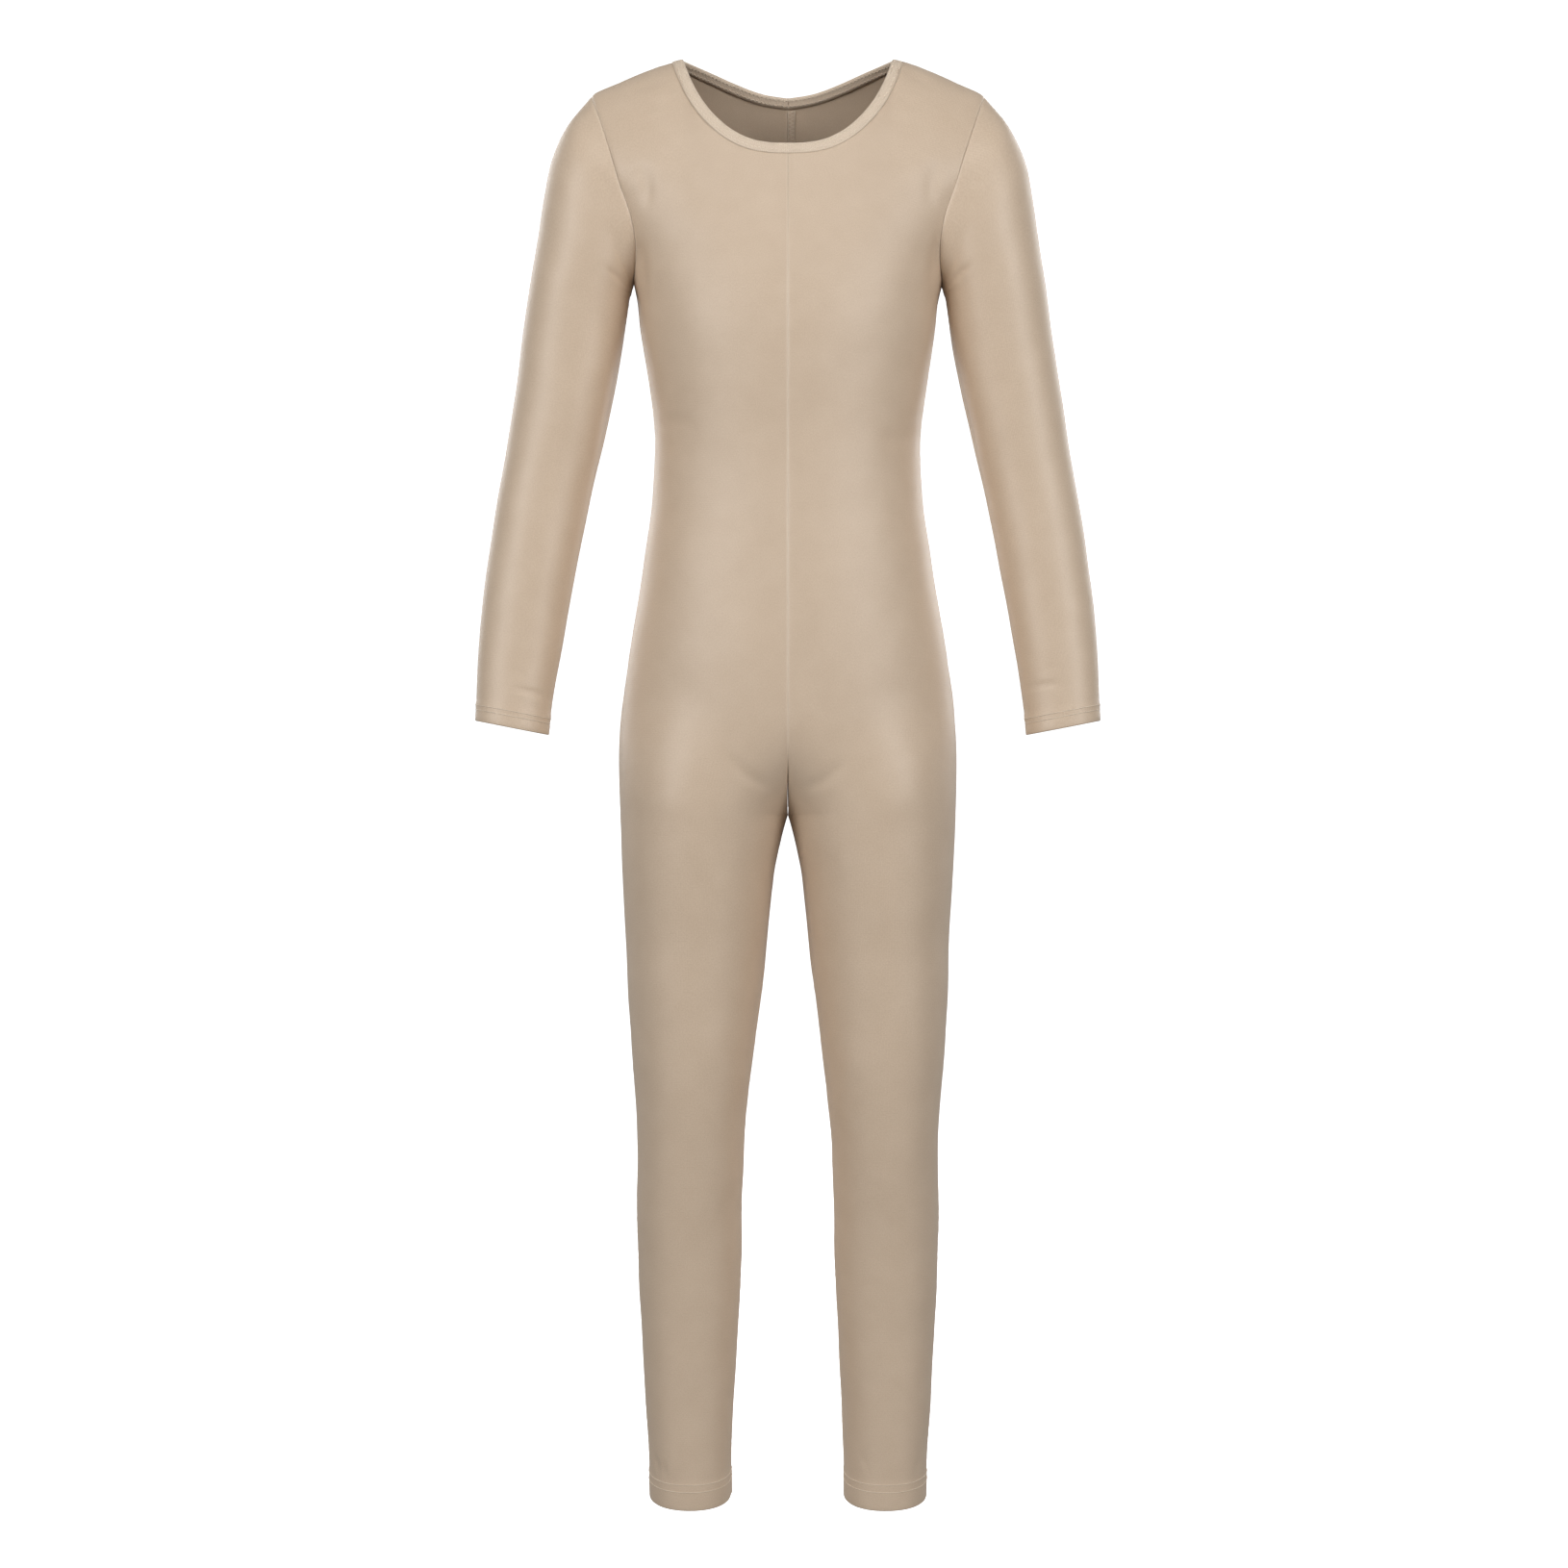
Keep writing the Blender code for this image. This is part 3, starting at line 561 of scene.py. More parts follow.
def edge_points(line, places, side):
    """Angle and drop at places, 0 to 1 by length, along one of the lines above."""
    fine = np.linspace(0, 1, EDGE_SAMPLES) ** 2
    run = travelled(surface_line(*line(fine), side))
    x, drop = line(np.interp(places * run[-1], run, fine))
    return np.stack([angle_at(x, drop, side), drop], axis=-1)


def places_across():
    """Columns of a panel from the centre at 0 to the side at 1."""
    close = np.array(NEAR_SEAM)
    neck = np.linspace(close[-1], NECK_SHARE, NECK_COLUMNS + 1)
    shoulder = np.linspace(NECK_SHARE, 1 - close[-1], SHOULDER_COLUMNS + 1)[1:]
    return np.concatenate([close[:-1], neck, shoulder, 1 - close[-2::-1]])


def places_down():
    """Rows of a panel from the shoulder at 0 to the underarm at 1."""
    close = np.array(NEAR_SEAM)
    return np.concatenate([close[:-1], np.linspace(close[-1], 1, ARMHOLE_ROWS + 1)])


def upper_grid(side):
    """Angle and drop of each point from the neck and shoulder down to the underarm, spread
    between the four edges."""
    u, s = places_across(), places_down()
    on_neck = u <= NECK_SHARE
    neck = edge_points(lambda t: neck_line(t, side), u[on_neck] / NECK_SHARE, side)
    rest = (u[~on_neck] - NECK_SHARE) / (1 - NECK_SHARE)
    top = np.concatenate([neck, edge_points(shoulder_line, rest, side)])
    armhole = edge_points(lambda t: armhole_line(t, side), s, side)
    bottom = np.stack([u * math.pi / 2, np.full(len(u), UNDERARM)], axis=-1)
    u, s = u[:, None, None], s[None, :, None]
    centre = np.concatenate([np.zeros_like(s), top[0, 1] + (UNDERARM - top[0, 1]) * s], axis=-1)
    spread = (1 - s) * top[:, None] + s * bottom[:, None]
    spread += (1 - u) * centre + u * armhole[None]
    spread -= (1 - u) * ((1 - s) * top[0] + s * bottom[0])
    spread -= u * ((1 - s) * top[-1] + s * bottom[-1])
    return spread[..., 0], spread[..., 1]


def lower_rows():
    """Drop of each row at the centre or inner leg, and at the outer side."""
    body = np.linspace(UNDERARM, CROTCH_RISE_START, BODY_ROWS + 1)[1:]
    turn = np.linspace(0, 1, CROTCH_ROWS + 1)[1:]
    rise = CROTCH - CROTCH_RISE_START
    seat_inner = CROTCH - rise * (1 - np.sin(turn * math.pi / 2))
    seat_outer = CROTCH - rise * (1 - turn)
    t = np.linspace(0, 1, LEG_ROWS + 1)[1:]
    leg = CROTCH + (ANKLE - HEM_FOLD - CROTCH) * (t * (1 + LEG_EASE) - LEG_EASE * t * t)
    return np.concatenate([body, seat_inner, leg]), np.concatenate([body, seat_outer, leg])


def panel_surface(side):
    """Points and outward directions of a left panel on its form: columns run from the
    centre to the side, rows from the top to the ankle."""
    angle, drop = upper_grid(side)
    upper = upper_point(angle, drop, side)
    u = places_across()
    upper[u >= NECK_SHARE, 0, 1] = 0
    inner, outer = lower_rows()
    u = u[:, None]
    hold = (1 - np.clip(u / ROW_HOLD, 0, 1)) ** 2
    drop = hold * inner[None] + (1 - hold) * outer[None]
    u = np.broadcast_to(u, drop.shape)
    dip = ANKLE_FRONT_DIP if side is FRONT else 0.0
    drop = drop + dip * np.sin(math.pi * u) * eased((drop - DIP_STARTS) / (ANKLE - DIP_STARTS))
    points = np.concatenate([upper, lower_point(u, drop, side)], axis=1)
    outward = [upper_normal(upper, side), lower_normal(u, drop, side)]
    return points, np.concatenate(outward, axis=1)


# Seams that pieces share

ARMHOLE_END = len(NEAR_SEAM) + ARMHOLE_ROWS
NECK_END = len(NEAR_SEAM) - 1 + NECK_COLUMNS


def seam_ring(points, outward):
    """Closed ring of a seam: its points, the directions out of the cloth made square to
    it, and those across it, on the cloth."""
    around = unit(np.roll(points, -1, axis=0) - np.roll(points, 1, axis=0))
    square = unit(outward - (outward * around).sum(axis=1)[:, None] * around)
    return points, square, np.cross(square, around)


def armhole_ring(surfaces):
    """The left armhole from the shoulder, down the front and up the back, and the place of
    each point round the sleeve."""
    (front, front_out), (back, back_out) = surfaces
    down, up = slice(0, ARMHOLE_END), slice(ARMHOLE_END - 2, 0, -1)
    points = np.concatenate([front[-1, down], back[-1, up]])
    body_out = np.concatenate([front_out[-1, down], back_out[-1, up]])
    places = np.concatenate([places_down() / 2, 1 - places_down()[up] / 2])
    section = sleeve_section(0.0, places)
    away = section - section.mean(axis=0)
    arm = unit(np.array(ARM_AXIS))
    away = unit(away - (away @ arm)[:, None] * arm)
    low = eased((-points[:, 2] - UNDERARM_FOLD) / (UNDERARM - UNDERARM_FOLD))[:, None]
    lean = SLEEVE_LEAN + (UNDERARM_LEAN - SLEEVE_LEAN) * low
    return seam_ring(points, body_out + away * lean - low * [0, 0, UNDERARM_TUCK]), places


def neck_ring(surfaces):
    """The neck seam once round: down the front on the wearer's left from the shoulder,
    over to the right and round the back."""
    (front, front_out), (back, back_out) = surfaces
    inwards, outwards = slice(NECK_END, 0, -1), slice(0, NECK_END)
    halves = []
    for front_half, back_half in ((front, back), (front_out, back_out)):
        left, right = front_half[inwards, 0], front_half[outwards, 0] * [-1, 1, 1]
        right_back, left_back = back_half[inwards, 0] * [-1, 1, 1], back_half[outwards, 0]
        halves.append(np.concatenate([left, right, right_back, left_back]))
    return seam_ring(*halves)


def on_panel(ring, side, count):
    """The first quarter or half of a seam ring that a left panel has."""
    if side is FRONT:
        return [values[:count] for values in ring]
    return [np.roll(values[::-1], 1, axis=0)[:count] for values in ring]


def sleeve_section(t, places):
    """Ring of the left sleeve at t, from 0 at the first row of the table to 1 at the wrist."""
    rows = np.array(SLEEVE)
    middles = np.column_stack([rows[:, 0] + rows[:, 2], rows[:, 1] + rows[:, 3]]) / 2
    run = travelled(middles)
    table = np.column_stack([run / run[-1], rows])
    inner_x, inner_drop, outer_x, outer_drop, half, forward = (read(table, k, t) for k in range(1, 7))
    cosine, sine = np.cos(2 * math.pi * places), np.sin(2 * math.pi * places)
    reach = (np.abs(cosine) ** SQUARENESS + np.abs(sine) ** SQUARENESS) ** (-1 / SQUARENESS)
    along, aside = reach * cosine, reach * sine
    x = (inner_x + outer_x) / 2 + along * (outer_x - inner_x) / 2
    drop = (inner_drop + outer_drop) / 2 + along * (outer_drop - inner_drop) / 2
    return np.stack([x, -forward - aside * half, -drop], axis=-1)


# Relief of the cloth: creases, slow swells, seams and hems

def crease_height(creases, x, drop):
    """Soft troughs with a low ridge along each side, fading out at both ends."""
    height = np.zeros_like(x)
    for x1, drop1, x2, drop2, half_width, depth, bow in creases:
        run_x, run_drop = x2 - x1, drop2 - drop1
        length = math.hypot(run_x, run_drop)
        t = ((x - x1) * run_x + (drop - drop1) * run_drop) / length**2
        off = ((x - x1) * run_drop - (drop - drop1) * run_x) / length
        off -= bow * 4 * t * (1 - t)
        fade = eased((t + CREASE_OVERRUN) / CREASE_FADE_IN)
        fade *= eased((1 + CREASE_OVERRUN - t) / CREASE_FADE_OUT)
        width = half_width * (CREASE_END_WIDTH + (1 - CREASE_END_WIDTH) * fade)
        r = (off / width) ** 2
        height -= depth * fade * (1 - CREASE_RIDGE * r) * np.exp(-r)
    return height


def swell_height(x, drop, facing):
    height = np.zeros_like(x)
    for across, down, start, size in SWELLS:
        height += size * np.sin(2 * math.pi * (across * x + down * drop) + start + facing)
    return height


def seam_height(run, away):
    """Height beside a seam: sunk on it, puckered next to it."""
    sunk = -SEAM_SINK * np.exp(-((away / SEAM_HALF_WIDTH) ** 2))
    wander = sum(far * np.sin(run * often) for far, often in PUCKER_WANDER)
    wave = np.sin(2 * math.pi * run / PUCKER_PITCH + wander)
    stronger_and_weaker = 0.55 + 0.45 * np.sin(run * 47 + 0.6)
    near = np.exp(-away / PUCKER_REACH) * (1 - np.exp(-away / PUCKER_START))
    return sunk + PUCKER_HEIGHT * stronger_and_weaker * wave * near


def beside(points, axis, end):
    """For each point of a grid, the length along one of its edges, and the distance from
    it. axis 0 is the first or last column, axis 1 the first or last row."""
    edge = np.take(points, [0 if end == 0 else -1], axis=axis)
    away = np.linalg.norm(points - edge, axis=-1)
    line = np.take(edge, 0, axis=axis)
    run = np.expand_dims(travelled(line), axis)
    return np.broadcast_to(run, away.shape), away


# Share of the pale seam line, thread colour and painted highlight, at a distance from a seam
def seam_thread_and_highlight(away):
    return np.exp(-((away / SEAM_THREAD_AND_HIGHLIGHT_HALF_WIDTH) ** 2))


def panel_cut(side, surface, arm_ring, ring_at_neck, mirrored):
    """A panel with its relief, on the wearer's left or right."""
    points, outward = (values.copy() for values in surface)
    _, arm_out, _ = on_panel(arm_ring, side, ARMHOLE_END)
    _, neck_out, _ = on_panel(ring_at_neck, side, NECK_END + 1)
    outward[-1, :ARMHOLE_END] = arm_out
    outward[: NECK_END + 1, 0] = neck_out[::-1]
    x = points[..., 0] * (-1 if mirrored else 1)
    drop = -points[..., 2]
    height = crease_height(side.creases, x, drop) + swell_height(x, drop, side.facing)
    centre_run, centre_away = beside(points, 0, 0)
    side_run, side_away = beside(points, 0, -1)
    top_run, top_away = beside(points, 1, 0)
    shoulder = (np.arange(points.shape[0]) >= NECK_END)[:, None]
    beside_seam = np.minimum(centre_away, side_away) / SEAM_CALM_WIDTH
    height *= 1 - SEAM_CALM * np.exp(-(beside_seam**2))
    height += seam_height(centre_run, centre_away) + seam_height(side_run, side_away)
    height += np.where(shoulder, seam_height(top_run, top_away), 0)
    height = np.where(shoulder, height, height * eased(top_away / NECK_CALM_WIDTH))
    from_hem = np.take(drop, [-1], axis=1) - drop
    height += hem_height(from_hem, ANKLE_HEM, ANKLE_STITCH_ROWS)
    # Pale seam line on the panel: thread colour and painted highlight
    seam = seam_thread_and_highlight(centre_away) + seam_thread_and_highlight(side_away) + np.where(shoulder, seam_thread_and_highlight(top_away), 0)
    points += height[..., None] * outward
    return turned_hem(Cut(points, outward, np.clip(seam, 0, 1)), ANKLE_HEM)


def hem_height(from_edge, depth, rows):
    """The doubled hem stands a little proud, and its stitch rows pull it in."""
    height = HEM_RISE * eased((depth + HEM_STEP_ABOVE - from_edge) / HEM_STEP)
    for row in rows:
        height -= STITCH_SINK * np.exp(-(((from_edge - row) / STITCH_SINK_HALF_WIDTH) ** 2))
    return height


def turned_hem(cut, depth):
    """The same sheet with its lower edge rolled under and carried up inside."""
    edge, out = cut.points[:, -1], cut.outward[:, -1]
    down = unit(cut.points[:, -1] - cut.points[:, -2])
    rows = []
    for degrees in HEM_ROLL:
        cosine, sine = math.cos(math.radians(degrees)), math.sin(math.radians(degrees))
        rolled = edge - out * HEM_FOLD * (1 - cosine) + down * HEM_FOLD * sine
        rows.append((rolled, out * cosine + down * sine))
    for rise in np.linspace(0, depth, HEM_INSIDE_ROWS + 1)[1:]:
        rows.append((edge - 2 * HEM_FOLD * out - rise * down, -out))
    points = np.concatenate([cut.points] + [row[0][:, None] for row in rows], axis=1)
    outward = np.concatenate([cut.outward] + [row[1][:, None] for row in rows], axis=1)
    seam = np.concatenate([cut.seam] + [cut.seam[:, -1:]] * len(rows), axis=1)
    return Cut(points, outward, seam)


def sleeve_cut(arm_ring, places, mirrored):
    """A sleeve with its relief: columns round it from the top, rows down to the wrist."""
    seam, seam_out, _ = arm_ring
    fan = np.linspace(0, FAN_SHARE, FAN_STEPS + 1)
    arm = np.linspace(FAN_SHARE, 1, SLEEVE_STATIONS + 1)[1:]
    rings = np.stack([seam] + [sleeve_section(t, places) for t in np.concatenate([fan, arm])])
    stations = np.arange(len(rings))
    close = np.array(NEAR_SEAM) * SLEEVE_NEAR_SEAM
    even = np.linspace(close[-1], stations[-1], ROWS_A_STATION * stations[-1])
    points = np.swapaxes(smooth(stations, rings, np.concatenate([close[:-1], even])), 0, 1)
    around = np.roll(points, -1, axis=0) - np.roll(points, 1, axis=0)
    outward = unit(np.cross(around, np.gradient(points, axis=1)))
    outward[:, 0] = seam_out
    x = points[..., 0] * (-1 if mirrored else 1)
    drop, y = -points[..., 2], points[..., 1]
    middle = y.mean(axis=0, keepdims=True)
    to_front = eased((middle - y) / SLEEVE_SIDE_BLEND + 0.5)
    height = to_front * crease_height(SLEEVE_FRONT_CREASES, x, drop)
    height += (1 - to_front) * crease_height(SLEEVE_BACK_CREASES, x, drop)
    height += swell_height(x, drop, 0)
    top_run, top_away = beside(points, 1, 0)
    height += seam_height(top_run, top_away)
    underarm = points[ARMHOLE_END - 1]
    inner_away = np.linalg.norm(points - underarm, axis=-1)
    height += seam_height(np.broadcast_to(travelled(underarm), inner_away.shape), inner_away)
    run = np.stack([travelled(line) for line in points])
    from_hem = run[:, -1:] - run
    height += hem_height(from_hem, WRIST_HEM, WRIST_STITCH_ROWS)
    # Pale seam line on the sleeve: thread colour and painted highlight
    thread_and_highlight = np.clip(seam_thread_and_highlight(top_away) + seam_thread_and_highlight(inner_away), 0, 1)
    points = points + height[..., None] * outward
    return turned_hem(Cut(points, outward, thread_and_highlight), WRIST_HEM)


# Meshes

def to_hand(mirrored):
    """Factor that carries a point of the left half to the wearer's own left or right."""
    return np.array([-1, 1, 1] if mirrored else [1, 1, 1])


def laid_grid(name, cut, finish, closed=False, mirrored=False):
    """A grid of faces laid over a cut's points; a closed one has its first and last
    columns joined. It keeps a map in metres and a mark along the seams, where the
    knit is lightened as pale thread and painted highlight."""
    points, outward, seam = cut
    if closed:
        points, outward, seam = (np.concatenate([a, a[:1]]) for a in cut)
    points, outward = points * to_hand(mirrored), outward * to_hand(mirrored)
    columns, rows = points.shape[0] - 1, points.shape[1] - 1
    down = np.stack([travelled(line) for line in points]).mean(axis=0)
    middle = points.shape[1] // 2
    across = travelled(points[:, middle])
    bm = bmesh.new()
    bmesh.ops.create_grid(bm, x_segments=columns, y_segments=rows, size=0.5)
    layer = bm.loops.layers.uv.new("cloth")
    mark = bm.verts.layers.float.new("seam")
    for vert in bm.verts:
        column = round((vert.co.x + 0.5) * columns)
        row = round((vert.co.y + 0.5) * rows)
        for loop in vert.link_loops:
            loop[layer].uv = (across[column], -down[row])
        vert[mark] = seam[column, row]
        vert.co = points[column, row]
    facing = np.cross(points[1:, :-1] - points[:-1, :-1], points[:-1, 1:] - points[:-1, :-1])
    if (facing * outward[:-1, :-1]).sum() < 0:
        bmesh.ops.reverse_faces(bm, faces=bm.faces[:])
    if closed:
        bmesh.ops.remove_doubles(bm, verts=bm.verts[:], dist=1e-7)
    return placed(name, bm, finish)


def placed(name, bm, finish):
    """The finished mesh as a smooth-shaded piece at the origin."""
    for face in bm.faces:
        face.smooth = True
    mesh = bpy.data.meshes.new(name)
    bm.to_mesh(mesh)
    bm.free()
    mesh.materials.append(finish)
    piece = bpy.data.objects.new(name, mesh)
    bpy.context.scene.collection.objects.link(piece)
    return piece


def thicken(piece, thickness):
    shell = piece.modifiers.new("cloth thickness", "SOLIDIFY")
    shell.thickness = thickness
    shell.offset = -1.0
    shell.use_even_offset = False
    return piece


def thread(name, paths, radius, finish, sides=5):
    """Threads as one piece. Each path is its points, the directions out of the cloth, and
    whether its ends meet."""
    bm = bmesh.new()
    for points, outward, closed in paths:
        if closed:
            points, outward = (np.concatenate([a, a[:1]]) for a in (points, outward))
        along = unit(np.gradient(points, axis=0))
        up = unit(outward - (outward * along).sum(axis=1)[:, None] * along)
        aside = np.cross(along, up)
        turn = np.linspace(0, 2 * math.pi, sides + 1)[:, None, None]
        rings = points[None] + radius * (np.cos(turn) * up[None] + np.sin(turn) * aside[None])
        before = len(bm.verts)
        bmesh.ops.create_grid(bm, x_segments=sides, y_segments=len(points) - 1, size=0.5)
        bm.verts.ensure_lookup_table()
        for vert in bm.verts[before:]:
            column = round((vert.co.x + 0.5) * sides)
            row = round((vert.co.y + 0.5) * (len(points) - 1))
            vert.co = rings[column, row]
    bmesh.ops.remove_doubles(bm, verts=bm.verts[:], dist=1e-7)
    bmesh.ops.holes_fill(bm, edges=[edge for edge in bm.edges if edge.is_boundary], sides=sides)
    bmesh.ops.recalc_face_normals(bm, faces=bm.faces[:])
    return placed(name, bm, finish)


def resampled(points, outward, closed, spacing, parts):
    """The same line with evenly spaced points, for a whole number of stitches of that many
    parts."""
    if closed:
        points, outward = (np.concatenate([a, a[:1]]) for a in (points, outward))
    run = travelled(points)
    stitches = max(1, round(run[-1] / spacing))
    at = np.linspace(0, run[-1], stitches * parts + 1)
    if closed:
        at = at[:-1]
    line = np.stack([np.interp(at, run, points[:, k]) for k in range(3)], axis=-1)
    out = unit(np.stack([np.interp(at, run, outward[:, k]) for k in range(3)], axis=-1))
    return line, out


def zigzag(points, outward, closed, pitch, swing, lift):
    """A thread that swings from side to side and dips into the cloth at each turn."""
    line, out = resampled(points, outward, closed, pitch, 4)
    step = np.arange(len(line))
    along = unit(np.gradient(line, axis=0))
    aside = np.cross(along, out)
    side = np.array([-1.0, 0.0, 1.0, 0.0])[step % 4]
    rise = np.array([-0.6, 1.0, -0.6, 1.0])[step % 4]
    return line + swing * side[:, None] * aside + lift * rise[:, None] * out, out, closed


def straight_row(points, outward, closed, pitch, lift):
    """A row of straight stitches with a dip between each two."""
    line, out = resampled(points, outward, closed, pitch, 4)
    rise = np.array([-1.2, 0.8, 1.0, 0.8])[np.arange(len(line)) % 4]
    return line + lift * rise[:, None] * out, out, closed


# Finishes

class Socket:
    """A socket of a material that can be used in Python expressions."""

    def __init__(self, finish, socket):
        self.finish = finish
        self.socket = socket

    def math(self, operation, *values):
        inputs = dict(enumerate(values))
        return self.finish.node("ShaderNodeMath", {"operation": operation}, inputs)

    def __add__(self, other):
        return self.math("ADD", self, other)

    def __radd__(self, other):
        return self.math("ADD", other, self)

    def __sub__(self, other):
        return self.math("SUBTRACT", self, other)

    def __rsub__(self, other):
        return self.math("SUBTRACT", other, self)

    def __mul__(self, other):
        return self.math("MULTIPLY", self, other)

    def __rmul__(self, other):
        return self.math("MULTIPLY", other, self)

    def sine(self):
        return self.math("SINE", self)


class Finish:
    """A material being made."""

    def __init__(self, name):
        self.material = bpy.data.materials.new(name)
        self.material.use_nodes = True
        self.nodes = self.material.node_tree.nodes
        self.links = self.material.node_tree.links
        self.shader = self.nodes["Principled BSDF"]

    def node(self, kind, settings=None, inputs=None, output=0):
        made = self.nodes.new(kind)
        for name, value in (settings or {}).items():
            setattr(made, name, value)
        for name, value in (inputs or {}).items():
            self.feed(made.inputs[name], value)
        return Socket(self, made.outputs[output])

    def feed(self, socket, value):
        if isinstance(value, Socket):
            self.links.new(value.socket, socket)
        else:
            socket.default_value = value

    def set(self, **values):
        for name, value in values.items():
            self.feed(self.shader.inputs[name.replace("_", " ")], value)

    def blend(self, share, first, second):
        mix = {"data_type": "RGBA", "blend_type": "MIX"}
        return self.node("ShaderNodeMix", mix, {0: share, 6: first, 7: second}, output=2)

    def parts(self, vector):
        """The X and the Y of a vector."""
        x = self.node("ShaderNodeSeparateXYZ", {}, {"Vector": vector})
        return x, Socket(self, x.socket.node.outputs["Y"])

    def noise(self, place, scale, detail):
        return self.node("ShaderNodeTexNoise", {}, {"Vector": place, "Scale": scale, "Detail": detail})


def knit_finish():
    """Shiny stretch knit: fine upright wales, a speckle of yarn, a soft broad shine, and a pale line on
    the seams that is partly thread colour and partly painted highlight.
    """
    finish = Finish("shiny stretch knit")
    cloth = finish.node("ShaderNodeUVMap", {"uv_map": "cloth"})
    place = finish.node("ShaderNodeTexCoord", output=3)
    across, down = finish.parts(cloth)
    wales = (across * (2 * math.pi / 0.0011)).sine()
    courses = (down * (2 * math.pi / 0.0013)).sine()
    speckle = finish.noise(cloth, 900.0, 2.0)
    mottle = finish.noise(place, 70.0, 3.0)
    seam = finish.node("ShaderNodeAttribute", {"attribute_name": "seam"}, output=2)
    tone = 0.5 + (speckle - 0.5) * 1.0 + (mottle - 0.5) * 0.35 + wales * 0.04
    body = finish.blend(tone, (0.585, 0.440, 0.310, 1.0), (0.735, 0.590, 0.450, 1.0))
    # Pale line on the seams: partly the thread's own colour, partly a painted highlight where the seam
    # catches the light
    colour = finish.blend(seam * 0.55, body, (0.86, 0.74, 0.60, 1.0))
    grain = wales * 0.35 + courses * 0.2 + (speckle - 0.5) * 1.6 + (mottle - 0.5) * 0.5
    bump = finish.node("ShaderNodeBump", {}, {"Strength": 0.35, "Distance": 0.00012, "Height": grain})
    finish.set(Base_Color=colour, Roughness=0.44 + (speckle - 0.5) * 0.16, Normal=bump)
    finish.set(Specular_IOR_Level=0.55, Sheen_Weight=0.08, Sheen_Roughness=0.5)
    return finish.material


def elastic_finish():
    """The knit's edge folded over elastic: a little lighter, with close ribs across it."""
    finish = Finish("elastic neck edge")
    cloth = finish.node("ShaderNodeUVMap", {"uv_map": "cloth"})
    across, _ = finish.parts(cloth)
    ribs = (across * (2 * math.pi / 0.0012)).sine()
    speckle = finish.noise(cloth, 1100.0, 2.0)
    tone = 0.5 + (speckle - 0.5) * 1.1 + ribs * 0.12
    colour = finish.blend(tone, (0.66, 0.52, 0.39, 1.0), (0.82, 0.69, 0.55, 1.0))
    grain = ribs * 0.6 + (speckle - 0.5) * 1.4
    bump = finish.node("ShaderNodeBump", {}, {"Strength": 0.45, "Distance": 0.00015, "Height": grain})
    finish.set(Base_Color=colour, Roughness=0.52 + (speckle - 0.5) * 0.16, Normal=bump)
    finish.set(Specular_IOR_Level=0.45, Sheen_Weight=0.10, Sheen_Roughness=0.5)
    return finish.material


def thread_finish():
    """Pale spun thread with a fine twist."""
    finish = Finish("pale sewing thread")
    place = finish.node("ShaderNodeTexCoord", output=3)
    twist = finish.noise(place, 2500.0, 1.0)
    colour = finish.blend(twist, (0.72, 0.60, 0.46, 1.0), (0.93, 0.83, 0.70, 1.0))
    bump = finish.node("ShaderNodeBump", {}, {"Strength": 0.5, "Distance": 0.0001, "Height": twist})
    finish.set(Base_Color=colour, Roughness=0.5 + twist * 0.15, Normal=bump)
    finish.set(Specular_IOR_Level=0.5)
    return finish.material


# Pieces

def attach(piece, slot, *nodes):
    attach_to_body(piece, "root")
    if nodes:
        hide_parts(*nodes)
    return piece


def neck_edge(ring, finish):
    """The folded strip over the neck edge: up the outside, over the top and down inside."""
    points, outward, from_neck = ring
    run = travelled(points)[:, None]
    wander = np.sin(run * NECK_RIPPLE_WANDER)
    ripple = NECK_RIPPLE_HEIGHT * np.sin(2 * math.pi * run / NECK_RIPPLE + wander)
    layers = [points - height * from_neck + (out + ripple * np.sign(out)) * outward
              for height, out in NECK_EDGE_PROFILE]
    grid = np.stack(layers, axis=1)
    around = np.roll(grid, -1, axis=0) - np.roll(grid, 1, axis=0)
    faces_out = unit(np.cross(around, np.gradient(grid, axis=1)))
    if (faces_out[:, 3] * outward).sum() < 0:
        faces_out = -faces_out
    cut = Cut(grid, faces_out, np.zeros(grid.shape[:2]))
    return thicken(laid_grid("neck_edge_cloth", cut, finish, closed=True), NECK_EDGE_THICKNESS)


def neck_stitches(ring, finish):
    """Two rows of zigzag round the neck edge, outside and inside."""
    points, outward, from_neck = ring
    paths = []
    for height in NECK_ZIGZAG_ROWS:
        for face, level in NECK_ZIGZAG_FACES:
            line = points - height * from_neck + level * outward
            paths.append(zigzag(line, face * outward, True,
                                NECK_ZIGZAG, NECK_ZIGZAG_SWING, NECK_ZIGZAG_LIFT))
    return thread("neck_edge_stitches", paths, THREAD, finish)


def hem_stitches(name, cut, rows, finish, closed, mirrored):
    """Rows of straight stitches round a hem, on the outer layer."""
    edge = cut.points.shape[1] - len(HEM_ROLL) - HEM_INSIDE_ROWS - 1
    paths = []
    for row in rows:
        line, out = [], []
        for points, outward in zip(cut.points, cut.outward):
            run = travelled(points)
            k = np.searchsorted(run[: edge + 1], run[edge] - row)
            share = (run[edge] - row - run[k - 1]) / (run[k] - run[k - 1])
            line.append(points[k - 1] * (1 - share) + points[k] * share)
            out.append(outward[k])
        line, out = np.array(line) * to_hand(mirrored), np.array(out) * to_hand(mirrored)
        raised = line + HEM_STITCH_LEVEL * out
        paths.append(straight_row(raised, out, closed, HEM_STITCH, HEM_STITCH_LIFT))
    return thread(name, paths, THREAD, finish)


